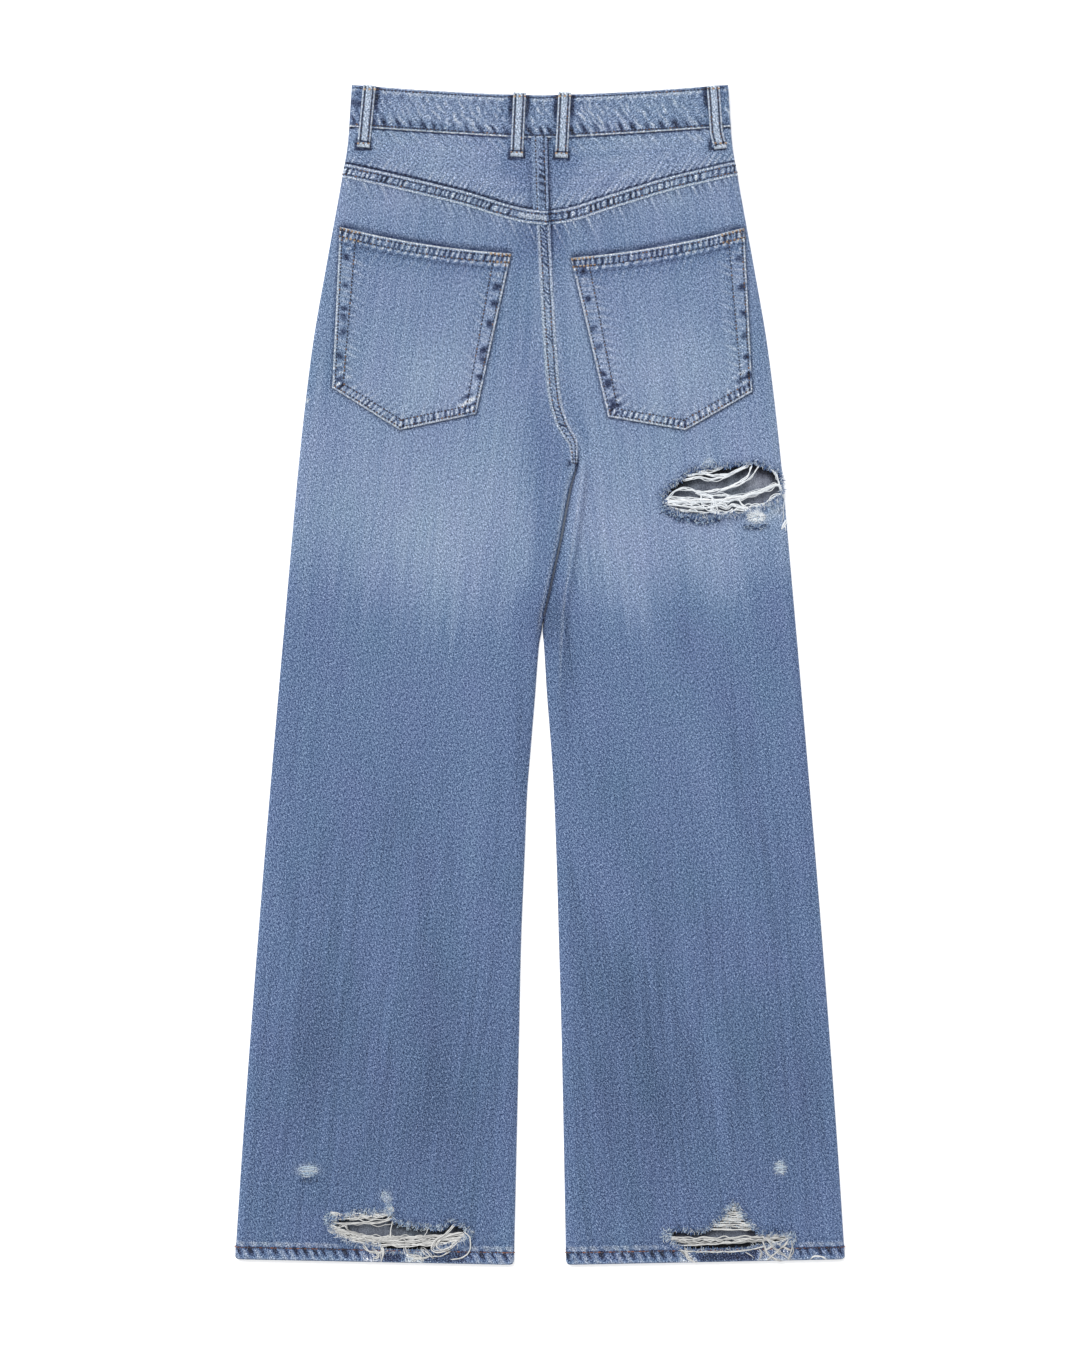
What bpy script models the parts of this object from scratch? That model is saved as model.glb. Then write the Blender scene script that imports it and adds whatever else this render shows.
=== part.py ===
"""Ripped wide-leg jeans, laid flat on their front with the back up.

The origin is on the floor under the middle of the garment, with +Y to the waist,
+X to the wearer's right and +Z up. All sizes are in millimetres until a mesh is
made. Pieces that are sewn together keep a small gap, so each stays its own solid.
"""

import bpy
import numpy as np

MM = 0.001

# Driving sizes.
TOP = 554.5             # height of the waist's side corners above the middle
CLOTH = 1.2             # one layer of denim
HEM_WALL = 2.6          # the hem, which is the leg folded up on itself
HEM_DEPTH = 12.5
BAND = 2.0              # the waistband, folded double
BAND_DEPTH = 38.7
LOOP_WIDTH = 11.8
LOOP_WALL = 1.5
SEAM_GAP = 0.3          # between pieces that are sewn side by side
LAY_GAP = 0.45          # under a piece that lies on a panel
PLATEAU = 5.9           # height of the back's outer face over the legs
WAIST_RISE = 1.8        # how much higher it lies at the waist
EDGE_REACH = 10.0       # width of the rounded side edges
FRONT_LIFT = 1.8        # the loops and button hold the front's waist off the floor
FRONT_DIP = 24.0        # how much lower the waist hangs at the front
BACK_DIP = 9.8
BAND_BACK_Z = 7.4       # middle of the waistband where it crosses the back

COLOURS = {
    "leg": (0.145, 0.196, 0.319),
    "yoke": (0.243, 0.319, 0.479),
    "pocket": (0.275, 0.366, 0.497),
    "band": (0.262, 0.323, 0.462),
    "loop": (0.323, 0.397, 0.509),
    "facing": (0.120, 0.165, 0.270),
}


def table(names, rows):
    """Columns of a table by name, from its rows."""
    columns = np.array(rows, dtype=float).T
    return dict(zip(names.split(), columns))


# Side outline: the half width of both legs together, at each height.
OUTSEAM = table("y half_width", [
    (TOP, 177.0),
    (502.0, 180.6),
    (465.0, 186.6),
    (390.0, 200.2),
    (314.0, 213.4),
    (239.0, 222.8),
    (164.0, 230.3),
    (-546.0, 286.7),
    (-556.0, 287.2),
])

# Seat seam, crotch and the line between the legs, with half the space between them.
CENTRE = table("y x half_gap", [
    (504.0, 6.6, 0.2),
    (434.0, 8.5, 0.2),
    (381.0, 11.0, 0.2),
    (311.0, 15.0, 0.2),
    (263.0, 19.0, 0.2),
    (239.0, 25.0, 0.2),
    (217.0, 35.0, 0.2),
    (200.0, 34.5, 0.2),
    (177.0, 28.7, 0.2),
    (128.0, 19.4, 0.2),
    (81.0, 9.2, 0.2),
    (46.0, 2.4, 0.2),
    (28.0, 1.4, 2.3),
    (-19.0, 1.0, 5.6),
    (-66.0, 0.9, 9.4),
    (-113.0, 0.5, 12.7),
    (-160.0, 0.5, 14.6),
    (-254.0, 0.0, 17.9),
    (-348.0, 0.3, 20.2),
    (-556.0, 0.0, 24.6),
])

# Lower edge of the back yoke.
YOKE_SEAM = table("x y", [
    (-184.0, 481.2),
    (-135.0, 470.5),
    (-80.0, 457.4),
    (8.3, 436.5),
    (71.4, 452.9),
    (118.0, 466.9),
    (184.0, 482.5),
])

# Fold that stands beside the line where the left leg lies against the right one.
CROTCH_FOLD = table("y x height", [
    (200.0, 40.0, 0.0),
    (170.0, 37.0, 1.1),
    (126.0, 31.0, 1.3),
    (57.0, 21.5, 1.0),
    (-2.0, 18.5, 0.4),
    (-40.0, 18.0, 0.0),
])
CROTCH_FOLD_WIDTH = 7.0

# Broad soft waves of the back: centre, half length along the leg, half width, height.
SWELLS = table("x y length width height", [
    (-120.0, 60.0, 120.0, 45.0, -0.35),
    (-60.0, -220.0, 160.0, 40.0, 0.3),
    (-205.0, -300.0, 150.0, 35.0, -0.3),
    (95.0, 40.0, 110.0, 40.0, 0.3),
    (165.0, -180.0, 150.0, 45.0, -0.35),
    (70.0, -380.0, 120.0, 35.0, 0.3),
    (0.0, 330.0, 60.0, 60.0, -0.3),
])

# Back pockets: the corners and lower point of each, and how far the mouth sags.
POCKETS = {
    "left": {
        "mouth": ((-188.0, 420.0), (-27.0, 395.0)),
        "foot": ((-195.3, 269.7), (-132.0, 230.2), (-60.1, 245.2)),
    },
    "right": {
        "mouth": ((28.9, 392.0), (190.7, 420.1)),
        "foot": ((64.1, 242.4), (136.8, 230.1), (198.6, 266.1)),
    },
}
POCKET_SAG = 4.0

# Rips, as holes through the back's cloth: the outline of each.
RIPS = {
    "thigh": ("right", [
        (115, 173), (137, 190), (157, 194), (205, 195), (222, 190),
        (223, 166), (204, 146), (172, 149), (140, 149), (117, 158),
    ]),
    "hem_right": ("right", [
        (117, -525), (156, -520), (181, -507), (203, -520), (238, -523),
        (238, -534), (200, -537), (150, -537), (120, -533),
    ]),
    "hem_left": ("left", [
        (-198, -510), (-174, -505), (-142, -501), (-134, -511), (-116, -518),
        (-93, -520), (-83, -514), (-67, -522), (-70, -536), (-182, -536),
        (-195, -524),
    ]),
}

# Belt loops on the back: top and bottom of each one's middle line.
BACK_LOOPS = {
    "belt_loop_side_left": ((-160.1, 550.0), (-165.8, 494.9)),
    "belt_loop_back_left": ((-19.1, 543.0), (-21.9, 486.5)),
    "belt_loop_back_right": ((23.2, 543.0), (20.1, 485.6)),
    "belt_loop_side_right": ((162.6, 550.0), (166.6, 494.9)),
}
FRONT_LOOP_X = 96.0
LOOP_LENGTH = 57.0

# Front pocket mouth: how far out it has come at each height.
POCKET_MOUTH = table("y x", [
    (448.0, 191.0),
    (451.0, 168.0),
    (458.0, 143.0),
    (470.0, 122.0),
    (486.0, 111.0),
    (512.0, 105.0),
])
FACING_TUCK = 16.0      # the facing runs this far behind the mouth's edge
FACING_FOOT = 450.0

# Fly shield and waist button.
FLY_WIDTH = 40.0
FLY_FOOT = 332.0
BAND_OVERLAP = (-15.0, 14.0)
BUTTON_X = 1.0
BUTTON_RADIUS = 8.5
BUTTON_CAP = 1.5
SHANK_RADIUS = 1.8
BUTTONHOLE = (19.0, 4.6)


class Profile:
    """Smooth curve through one column of a table, with no overshoot between rows."""

    def __init__(self, rows, along, column):
        order = np.argsort(rows[along])
        self.knot = rows[along][order]
        self.value = rows[column][order]
        rise = np.diff(self.value) / np.diff(self.knot)
        before, after = rise[:-1], rise[1:]
        turns = before * after <= 0
        mean = 2 * before * after / np.where(turns, 1.0, before + after)
        self.slope = np.concatenate(([rise[0]], np.where(turns, 0.0, mean), [rise[-1]]))

    def __call__(self, where):
        where = np.clip(where, self.knot[0], self.knot[-1])
        low = np.clip(np.searchsorted(self.knot, where) - 1, 0, len(self.knot) - 2)
        span = self.knot[low + 1] - self.knot[low]
        t = (where - self.knot[low]) / span
        start = (1 + 2 * t) * (1 - t) ** 2 * self.value[low]
        leave = t * (1 - t) ** 2 * span * self.slope[low]
        end = t ** 2 * (3 - 2 * t) * self.value[low + 1]
        arrive = t ** 2 * (t - 1) * span * self.slope[low + 1]
        return start + leave + end + arrive


half_width = Profile(OUTSEAM, "y", "half_width")
centre_x = Profile(CENTRE, "y", "x")
half_gap = Profile(CENTRE, "y", "half_gap")
yoke_seam = Profile(YOKE_SEAM, "x", "y")
fold_x = Profile(CROTCH_FOLD, "y", "x")
fold_height = Profile(CROTCH_FOLD, "y", "height")
mouth_x = Profile(POCKET_MOUTH, "y", "x")


# Lines across the garment, as heights over x.

def hem_edge(x):
    """Bottom edge: it drops towards the inside of each leg."""
    return -549.2 - 5.3 * (1 - (np.abs(x) - 24.6) / 262.0)


def waist_edge(x, dip=BACK_DIP):
    """Top edge of the waistband, lowest in the middle."""
    return TOP - dip * (1 - np.clip(np.abs(x) / 177.0, 0, 1) ** 1.5)


def waist_seam(x, dip=BACK_DIP + 1.7):
    """Bottom edge of the waistband."""
    out = np.clip(np.hypot(x, 15.0) / 180.0, 0, 1)
    return TOP - BAND_DEPTH - dip * (1 - out ** 1.1)


def front_waist_edge(x):
    return waist_edge(x, FRONT_DIP)


def front_waist_seam(x):
    return waist_seam(x, FRONT_DIP + 1.0)


# Heights above the floor, over x and y.

def rounded(inset, reach=EDGE_REACH):
    """Quarter circle: 0 at an edge, 1 once `reach` inside it."""
    t = np.clip(inset / reach, 0, 1)
    return np.sqrt(1 - (1 - t) ** 2)


def eased(value, start, end):
    """0 at `start`, 1 at `end`, with a soft change between."""
    t = np.clip((value - start) / (end - start), 0, 1)
    return t * t * (3 - 2 * t)


def front_face(y):
    """Underside of the front: on the floor, but lifted towards the waist."""
    return FRONT_LIFT * eased(y, 330.0, 470.0)


def rim_height(y, front_wall=CLOTH):
    """Where the back's side edges end, just above the front."""
    return front_face(y) + front_wall + SEAM_GAP


def back_face(x, y, front_wall=CLOTH):
    """Outer face of the back: a low plateau that turns down at its edges."""
    top = PLATEAU + WAIST_RISE * eased(y, 380.0, 500.0)
    for sx, sy, length, width, height in zip(*SWELLS.values()):
        top = top + height * np.exp(-((x - sx) / width) ** 2 - ((y - sy) / length) ** 2)
    across = (x - fold_x(y)) / CROTCH_FOLD_WIDTH
    top = top + fold_height(y) * np.exp(-across ** 2)
    side = rounded(half_width(y) - np.abs(x))
    inside = rounded(np.abs(x - centre_x(y)) - half_gap(y))
    parted = eased(-y, -216.0, -160.0)
    rim = rim_height(y, front_wall)
    return rim + (top - rim) * side * (1 - parted * (1 - inside))


# Meshes.

def make_object(name, points, faces, material):
    """One closed body from points in millimetres."""
    mesh = bpy.data.meshes.new(name)
    mesh.from_pydata([tuple(p) for p in np.asarray(points) * MM], [], faces)
    mesh.validate()
    mesh.materials.append(material)
    body = bpy.data.objects.new(name, mesh)
    bpy.context.scene.collection.objects.link(body)
    return body


def surface_material(name, colour, roughness=0.85, metallic=0.0):
    material = bpy.data.materials.new(name)
    material.use_nodes = True
    shader = material.node_tree.nodes["Principled BSDF"]
    shader.inputs["Base Color"].default_value = (*colour, 1.0)
    shader.inputs["Roughness"].default_value = roughness
    shader.inputs["Metallic"].default_value = metallic
    return material


def cloth(name, kind):
    return surface_material(f"{name}_cloth", COLOURS[kind])


def wall(name, upper, lower, material):
    """Closed wall between two grids of points, each (rows, columns, 3)."""
    rows, columns = upper.shape[:2]
    count = rows * columns
    index = np.arange(count).reshape(rows, columns)
    faces = []
    for r in range(rows - 1):
        for c in range(columns - 1):
            quad = (index[r, c], index[r, c + 1], index[r + 1, c + 1], index[r + 1, c])
            faces.append(tuple(int(i) for i in quad))
            faces.append(tuple(int(i) + count for i in reversed(quad)))
    ring = [*index[0, :-1], *index[:-1, -1], *index[-1, :0:-1], *index[:0:-1, 0]]
    for here, following in zip(ring, ring[1:] + ring[:1]):
        side = (here, here + count, following + count, following)
        faces.append(tuple(int(i) for i in side))
    points = np.concatenate((upper.reshape(-1, 3), lower.reshape(-1, 3)))
    return make_object(name, points, faces, material)


def column_places(low_insets, high_insets, middle):
    """Columns as (share of the width, offset): fixed insets at each edge, even between."""
    first, last = low_insets[-1], high_insets[-1]
    share = np.linspace(0, 1, middle + 2)[1:-1]
    shares = [np.zeros(len(low_insets)), share, np.ones(len(high_insets))]
    shift = first * (1 - share) - last * share
    shifts = [np.array(low_insets), shift, -np.array(high_insets)[::-1]]
    return np.concatenate(shares), np.concatenate(shifts)


def panel_grid(low, high, bottom, top, levels, places, settle=(900.0, 900.0)):
    """x and y over a panel whose sides are functions of y and whose ends are of x.

    `levels` are the rows' heights on its middle line, between its two ends. The rows
    take the slope of each end gradually, over the distance in `settle`.
    """
    share, shift = places

    def across(y):
        return low(y) + share * (high(y) - low(y)) + shift

    def end_line(line):
        y = np.full(len(share), line(0.0))
        for _ in range(6):
            y = line(across(y))
        return y

    foot, head = end_line(bottom), end_line(top)
    middle = len(share) // 2
    levels = np.array([foot[middle], *levels, head[middle]])[:, None]
    reach = np.minimum(settle, levels[-1] - levels[0])
    near_foot = np.clip(1 - (levels - levels[0]) / reach[0], 0, 1)
    near_head = np.clip(1 - (levels[-1] - levels) / reach[1], 0, 1)
    y = levels + near_foot * (foot - foot[middle]) + near_head * (head - head[middle])
    x = np.array([across(row) for row in y])
    return x, y


def inward(points, depth, floor):
    """The inner face of a wall: points moved in along the surface's normal."""
    along = np.gradient(points, axis=1)
    up = np.gradient(points, axis=0)
    normal = np.cross(along, up)
    normal /= np.linalg.norm(normal, axis=2, keepdims=True)
    moved = points - normal * np.broadcast_to(depth, points.shape[:2])[..., None]
    moved[..., 2] = np.maximum(moved[..., 2], floor)
    return moved


def on_height(x, y, z):
    return np.stack((x, y, np.broadcast_to(z, x.shape)), axis=-1)


# Pieces.

SIDES = {"left": -1, "right": 1}
EDGE_INSETS = (0.0, 1.0, 3.0, 6.0, 10.0)
FOLD_INSETS = (0.0, 1.0, 3.0, 6.0, 10.0, 16.0, 24.0)
BACK_LEVELS = (
    -520, -480, -420, -350, -280, -210, -140, -70, -20, 20, 55, 90, 120, 150,
    175, 200, 222, 245, 265, 300, 345, 375, 395, 415, 435,
)
FRONT_LEVELS = (
    -420, -280, -140, -20, 20, 55, 90, 120, 150, 175, 200, 222, 245, 265, 300, 345,
    375, 395, 415, 435, 448, 451, 455, 462, 472, 484,
)
SETTLE_BACK = (240.0, 240.0)
SETTLE_FRONT = (240.0, 20.0)


def sides_of(side):
    """The panel's low-x and high-x edges over y."""
    def outer(y):
        return SIDES[side] * half_width(y)

    def inner(y):
        return centre_x(y) + SIDES[side] * half_gap(y)

    return (outer, inner) if side == "left" else (inner, outer)


def hem_rows(levels, side):
    """Levels with the two rows where the folded hem ends."""
    foot = hem_edge(SIDES[side] * 150.0)
    return (foot + HEM_DEPTH, foot + HEM_DEPTH + 1.5, *levels)


def hem_or(count, plain):
    """A wall for each row: the hem's for the first two, and then the plain one."""
    return np.array([HEM_WALL] * 2 + [plain] * (count - 2))[:, None]


def back_leg(side):
    low, high = sides_of(side)
    insets = (EDGE_INSETS, FOLD_INSETS) if side == "left" else (FOLD_INSETS, EDGE_INSETS)
    x, y = panel_grid(
        low, high, hem_edge, lambda x: yoke_seam(x) - SEAM_GAP / 2,
        hem_rows(BACK_LEVELS, side), column_places(*insets, middle=5), SETTLE_BACK,
    )
    depth = hem_or(len(y), CLOTH)
    outer = on_height(x, y, back_face(x, y, depth))
    inner = inward(outer, depth, rim_height(y, depth))
    name = f"back_leg_{side}"
    body = wall(name, outer, inner, cloth(name, "leg"))
    for rip, (leg, outline) in RIPS.items():
        if leg == side:
            cut(body, f"rip_{rip}", outline, 0.5, 15.0)
    return body


def yoke(side):
    low, high = sides_of(side)
    plain = (0.0, 20.0)
    insets = (EDGE_INSETS, plain) if side == "left" else (plain, EDGE_INSETS)
    x, y = panel_grid(
        low, high, lambda x: yoke_seam(x) + SEAM_GAP,
        lambda x: waist_seam(x) - SEAM_GAP, (478.0, 491.0), column_places(*insets, middle=5),
    )
    outer = on_height(x, y, back_face(x, y))
    name = f"yoke_{side}"
    return wall(name, outer, inward(outer, CLOTH, rim_height(y)), cloth(name, "yoke"))


def back_pocket(side):
    """A patch on the leg, made from the leg's own face, moved out."""
    mouth, foot = (np.array(POCKETS[side][end]) for end in ("mouth", "foot"))
    across = np.array([0, 0.04, 0.1, 0.2, 0.32, 0.44, 0.56, 0.68, 0.8, 0.9, 0.96, 1])
    down = np.linspace(1, 0, 9)[:, None, None]
    sag = POCKET_SAG * 4 * across * (1 - across)
    head = mouth[0] + across[:, None] * (mouth[1] - mouth[0])
    head[:, 1] -= sag
    point_share = (foot[1, 0] - foot[0, 0]) / (foot[2, 0] - foot[0, 0])
    bend = [0, point_share, 1]
    base = np.stack([np.interp(across, bend, foot[:, axis]) for axis in (0, 1)], axis=-1)
    spot = head + down * (base - head)
    x, y = spot[..., 0], spot[..., 1]
    under = back_face(x, y) + LAY_GAP
    name = f"back_pocket_{side}"
    upper = on_height(x, y, under + CLOTH)
    return wall(name, upper, on_height(x, y, under), cloth(name, "pocket"))


def front_leg(side):
    """Flat on the floor, with its top outer corner cut away by the pocket mouth."""
    sign = SIDES[side]

    def outer_edge(y):
        plain = half_width(y)
        return sign * np.where(y < POCKET_MOUTH["y"][0], plain, np.minimum(plain, mouth_x(y)))

    def inner_edge(y):
        return centre_x(y) + sign * half_gap(y)

    edges = (outer_edge, inner_edge) if side == "left" else (inner_edge, outer_edge)
    plain = (0.0, 12.0)
    x, y = panel_grid(
        *edges, hem_edge, lambda x: front_waist_seam(x) - SEAM_GAP,
        hem_rows(FRONT_LEVELS, side), column_places(plain, plain, middle=4), SETTLE_FRONT,
    )
    lower = on_height(x, y, front_face(y))
    upper = on_height(x, y, front_face(y) + hem_or(len(y), CLOTH))
    name = f"front_leg_{side}"
    return wall(name, upper, lower, cloth(name, "leg"))


def front_pocket_facing(side):
    """The corner seen inside the pocket mouth. It steps up and runs on behind the front."""
    x, y = panel_grid(
        lambda y: mouth_x(y) - FACING_TUCK, half_width,
        lambda x: np.full(np.shape(x), FACING_FOOT),
        lambda x: front_waist_seam(x) - SEAM_GAP,
        (455, 462, 472, 484), column_places(
            (0.0, FACING_TUCK + 0.8, FACING_TUCK + 7.0), (0.0,), middle=1,
        ), (20.0, 20.0),
    )
    tucked = np.arange(x.shape[1]) < 2
    under = front_face(y) + np.where(tucked, CLOTH + LAY_GAP, 0.0)
    if side == "left":
        x, y, under = -x[:, ::-1], y[:, ::-1], under[:, ::-1]
    name = f"front_pocket_facing_{side}"
    upper = on_height(x, y, under + CLOTH)
    return wall(name, upper, on_height(x, y, under), cloth(name, "facing"))


def fly_shield():
    """Cloth behind the closed fly, with its lower end cut on a curve."""
    def low(y):
        return centre_x(y) - FLY_WIDTH

    def high(y):
        return centre_x(y) + 3.0

    def foot(x):
        t = np.clip((high(FLY_FOOT) - x) / (FLY_WIDTH + 3.0), 0, 1)
        return FLY_FOOT + FLY_WIDTH * (1 - np.sqrt(1 - t ** 2))

    x, y = panel_grid(
        low, high, foot, lambda x: front_waist_seam(x) - SEAM_GAP,
        (375, 395, 415, 435, 455, 472), column_places((0.0, 2.0, 6.0), (0.0,), middle=3),
    )
    under = front_face(y) + CLOTH + LAY_GAP
    upper = on_height(x, y, under + CLOTH)
    return wall("fly_shield", upper, on_height(x, y, under), cloth("fly_shield", "facing"))


def waistband_path():
    """Stations along the band's middle: share of the half width, offset, z and normal.

    It runs from its left end at the fly, round the left side, along the back, round
    the right side and back to the fly, where its right end climbs behind the left one.
    """
    run = 177.0 - BAND
    front_z = FRONT_LIFT + BAND / 2
    fold = (BAND_BACK_Z - front_z) / 2
    turn = np.linspace(0, np.pi, 7)[1:-1]
    across = np.linspace(-1, 1, 21)
    behind = BAND + SEAM_GAP
    stations = []
    for share in np.linspace(BAND_OVERLAP[1] / run, -1, 10):
        stations.append((share, 0.0, front_z, 0.0, -1.0))
    for angle in turn:
        out, up = -np.sin(angle), -np.cos(angle)
        stations.append((-1, fold * out, front_z + fold * (1 + up), out, up))
    for share in across:
        stations.append((share, 0.0, BAND_BACK_Z, 0.0, 1.0))
    for angle in turn:
        out, up = np.sin(angle), np.cos(angle)
        stations.append((1, fold * out, front_z + fold * (1 + up), out, up))
    for share in (1.0, 0.8, 0.6, 0.4, 0.27, 0.235, 0.2, 0.165, 0.13, 0.0, BAND_OVERLAP[0] / run):
        climb = behind * eased(-share, -0.27, -0.13)
        stations.append((share, 0.0, front_z + climb, 0.0, -1.0))
    return stations


def waistband():
    """One folded strip that goes all round the waist, swept along its path."""
    half = BAND / 2
    soft = 0.5
    corners = (
        (half - soft, 1, 0), (half, 1, -soft), (half, 0, soft), (half - soft, 0, 0),
        (soft - half, 0, 0), (-half, 0, soft), (-half, 1, -soft), (soft - half, 1, 0),
    )
    fold = (BAND_BACK_Z - FRONT_LIFT - half) / 2
    points = []
    for share, out, z, normal_x, normal_z in waistband_path():
        at_back = z > FRONT_LIFT + half + fold
        dips = (BACK_DIP, BACK_DIP + 1.7) if at_back else (FRONT_DIP, FRONT_DIP + 1.0)
        for depth, is_top, shift in corners:
            width = half_width(TOP if is_top else TOP - BAND_DEPTH) - half - fold
            x = share * width + out
            edge = waist_edge(x, dips[0]) if is_top else waist_seam(x, dips[1])
            if abs(share) == 1:
                edge = TOP - (0 if is_top else BAND_DEPTH)
            points.append((x + normal_x * depth, edge + shift, z + normal_z * depth))
    count = len(corners)
    rings = len(points) // count
    faces = [tuple(range(count))]
    for ring in range(rings - 1):
        for corner in range(count):
            here = ring * count + corner
            beside = ring * count + (corner + 1) % count
            faces.append((here, here + count, beside + count, beside))
    faces.append(tuple(reversed(range((rings - 1) * count, rings * count))))
    body = make_object("waistband", points, faces, cloth("waistband", "band"))
    length, height = BUTTONHOLE
    left, right = BUTTON_X - 0.7 * length, BUTTON_X + 0.3 * length
    low, high = button_y() - height / 2, button_y() + height / 2
    slot = [(left, low), (right, low), (right, high), (left, high)]
    cut(body, "buttonhole", slot, FRONT_LIFT - 1.0, FRONT_LIFT + BAND + SEAM_GAP / 2)
    return body


def button_y():
    return (front_waist_edge(BUTTON_X) + front_waist_seam(BUTTON_X)) / 2


def waist_button():
    """Cap under the band's left end, with a shank through the buttonhole."""
    shank_top = FRONT_LIFT + BAND
    profile = [
        (BUTTON_RADIUS - 0.5, 0.0), (BUTTON_RADIUS, 0.4), (BUTTON_RADIUS, 1.1),
        (BUTTON_RADIUS - 0.5, BUTTON_CAP), (SHANK_RADIUS, BUTTON_CAP), (SHANK_RADIUS, shank_top),
    ]
    around = 24
    points = []
    for radius, z in profile:
        for step in range(around):
            angle = 2 * np.pi * step / around
            x, y = radius * np.cos(angle), radius * np.sin(angle)
            points.append((BUTTON_X + x, button_y() + y, z))
    faces = [tuple(reversed(range(around)))]
    for ring in range(len(profile) - 1):
        for step in range(around):
            here = ring * around + step
            beside = ring * around + (step + 1) % around
            faces.append((here, beside, beside + around, here + around))
    faces.append(tuple(range(len(points) - around, len(points))))
    brass = surface_material("waist_button_brass", (0.42, 0.29, 0.13), 0.35, 1.0)
    return make_object("waist_button", points, faces, brass)


def loop_strip(name, head, foot, under, rows):
    """A belt loop between two ends, over the height that `under` gives at each row."""
    head, foot = np.array(head), np.array(foot)
    along = foot - head
    square = np.array([along[1], -along[0]]) / np.hypot(*along)
    offsets = np.array([-0.5, -0.42, 0.42, 0.5]) * LOOP_WIDTH
    if square[0] < 0:
        square = -square
    rows = np.array(sorted(rows, reverse=True))
    spot = head + rows[:, None, None] * along + offsets[None, :, None] * square
    height = np.array([under(*(head + share * along)) for share in rows])[:, None]
    soft = np.array([-0.5, 0.0, 0.0, -0.5])
    upper = on_height(spot[..., 0], spot[..., 1], height + LOOP_WALL + soft)
    lower = on_height(spot[..., 0], spot[..., 1], height + np.array([0.2, 0, 0, 0.2]))
    return wall(name, upper, lower, cloth(name, "loop"))


def back_loop(name):
    head, foot = BACK_LOOPS[name]
    drop = head[1] - foot[1]
    seam_share = (head[1] - waist_seam(head[0])) / drop

    def under(x, y):
        if y > waist_seam(x) - 3.0:
            return BAND_BACK_Z + BAND / 2 + LAY_GAP
        near = back_face(x + np.array([-6.0, 0.0, 6.0]), y)
        return near.max() + LAY_GAP

    rows = (0.0, seam_share + 0.03, seam_share + 0.13, 1.0)
    return loop_strip(name, head, foot, under, rows)


def front_loop(side):
    x = SIDES[side] * FRONT_LOOP_X
    top = front_waist_edge(x) - 0.5
    return loop_strip(
        f"belt_loop_front_{side}", (x, top), (x, top - LOOP_LENGTH),
        lambda *_: 0.0, (0.0, 0.5, 1.0),
    )


def cut(body, name, outline, low, high):
    """Take a prism on `outline` out of the body."""
    count = len(outline)
    points = [(x, y, z) for z in (low, high) for x, y in outline]
    area = sum(
        x0 * y1 - x1 * y0
        for (x0, y0), (x1, y1) in zip(outline, outline[1:] + outline[:1])
    )
    upward = tuple(range(count, 2 * count))
    faces = [upward, tuple(reversed(range(count)))]
    for here in range(count):
        beside = (here + 1) % count
        faces.append((here, beside, beside + count, here + count))
    if area < 0:
        faces = [tuple(reversed(face)) for face in faces]
    cutter = make_object(name, points, faces, body.data.materials[0])
    cutter.hide_render = True
    cutter.display_type = "WIRE"
    hole = body.modifiers.new(name, "BOOLEAN")
    hole.object = cutter
    hole.operation = "DIFFERENCE"
    hole.solver = "EXACT"


for old in list(bpy.data.objects):
    bpy.data.objects.remove(old, do_unlink=True)

for side in SIDES:
    front_leg(side)
    front_pocket_facing(side)
    back_leg(side)
    yoke(side)
    back_pocket(side)
    front_loop(side)
fly_shield()
waistband()
waist_button()
for name in BACK_LOOPS:
    back_loop(name)
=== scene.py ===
"""Ripped wide-leg jeans, laid flat on their front with the back up.

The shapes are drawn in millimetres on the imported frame, whose floor is z = 0, with
+Y to the waist, +X to the wearer's right and +Z up. Meshes are made in metres.
"""

import math

import bpy
import numpy as np
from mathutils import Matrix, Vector


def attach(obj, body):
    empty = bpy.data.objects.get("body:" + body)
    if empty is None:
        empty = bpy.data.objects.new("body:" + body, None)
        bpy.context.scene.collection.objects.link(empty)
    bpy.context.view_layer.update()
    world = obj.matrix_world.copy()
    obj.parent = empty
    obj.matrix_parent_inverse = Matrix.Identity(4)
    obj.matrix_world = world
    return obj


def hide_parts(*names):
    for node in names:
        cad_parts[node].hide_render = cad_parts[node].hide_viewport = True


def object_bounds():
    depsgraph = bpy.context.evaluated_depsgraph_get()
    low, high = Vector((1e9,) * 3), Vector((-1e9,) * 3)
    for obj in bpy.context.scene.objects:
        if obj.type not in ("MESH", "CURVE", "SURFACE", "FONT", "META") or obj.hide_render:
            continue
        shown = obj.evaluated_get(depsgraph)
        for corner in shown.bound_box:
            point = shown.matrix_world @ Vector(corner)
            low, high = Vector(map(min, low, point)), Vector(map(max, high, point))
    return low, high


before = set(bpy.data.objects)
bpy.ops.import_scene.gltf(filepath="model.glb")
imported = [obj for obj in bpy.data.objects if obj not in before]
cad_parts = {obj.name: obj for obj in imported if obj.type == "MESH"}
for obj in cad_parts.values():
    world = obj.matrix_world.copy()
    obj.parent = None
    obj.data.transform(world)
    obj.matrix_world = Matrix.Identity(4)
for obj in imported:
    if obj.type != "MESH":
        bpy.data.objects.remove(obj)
cad_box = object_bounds()
MM = 0.001


# ---------------------------------------------------------------------------
# Table and light. The jeans lie on a plain pale table, under one broad soft lamp
# beyond the waist and a white room, and are seen from straight above.

def new_mesh(name, points, faces, slots=None):
    """A mesh from points in millimetres. `slots` gives each face's material slot."""
    mesh = bpy.data.meshes.new(name)
    mesh.from_pydata((np.asarray(points, dtype=float) * MM).tolist(), [], faces)
    if slots is not None:
        mesh.polygons.foreach_set("material_index", np.asarray(slots, dtype=np.int32))
    mesh.polygons.foreach_set("use_smooth", np.ones(len(mesh.polygons), dtype=bool))
    mesh.update()
    return mesh


def new_object(name, data):
    piece = bpy.data.objects.new(name, data)
    bpy.context.scene.collection.objects.link(piece)
    return piece


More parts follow.
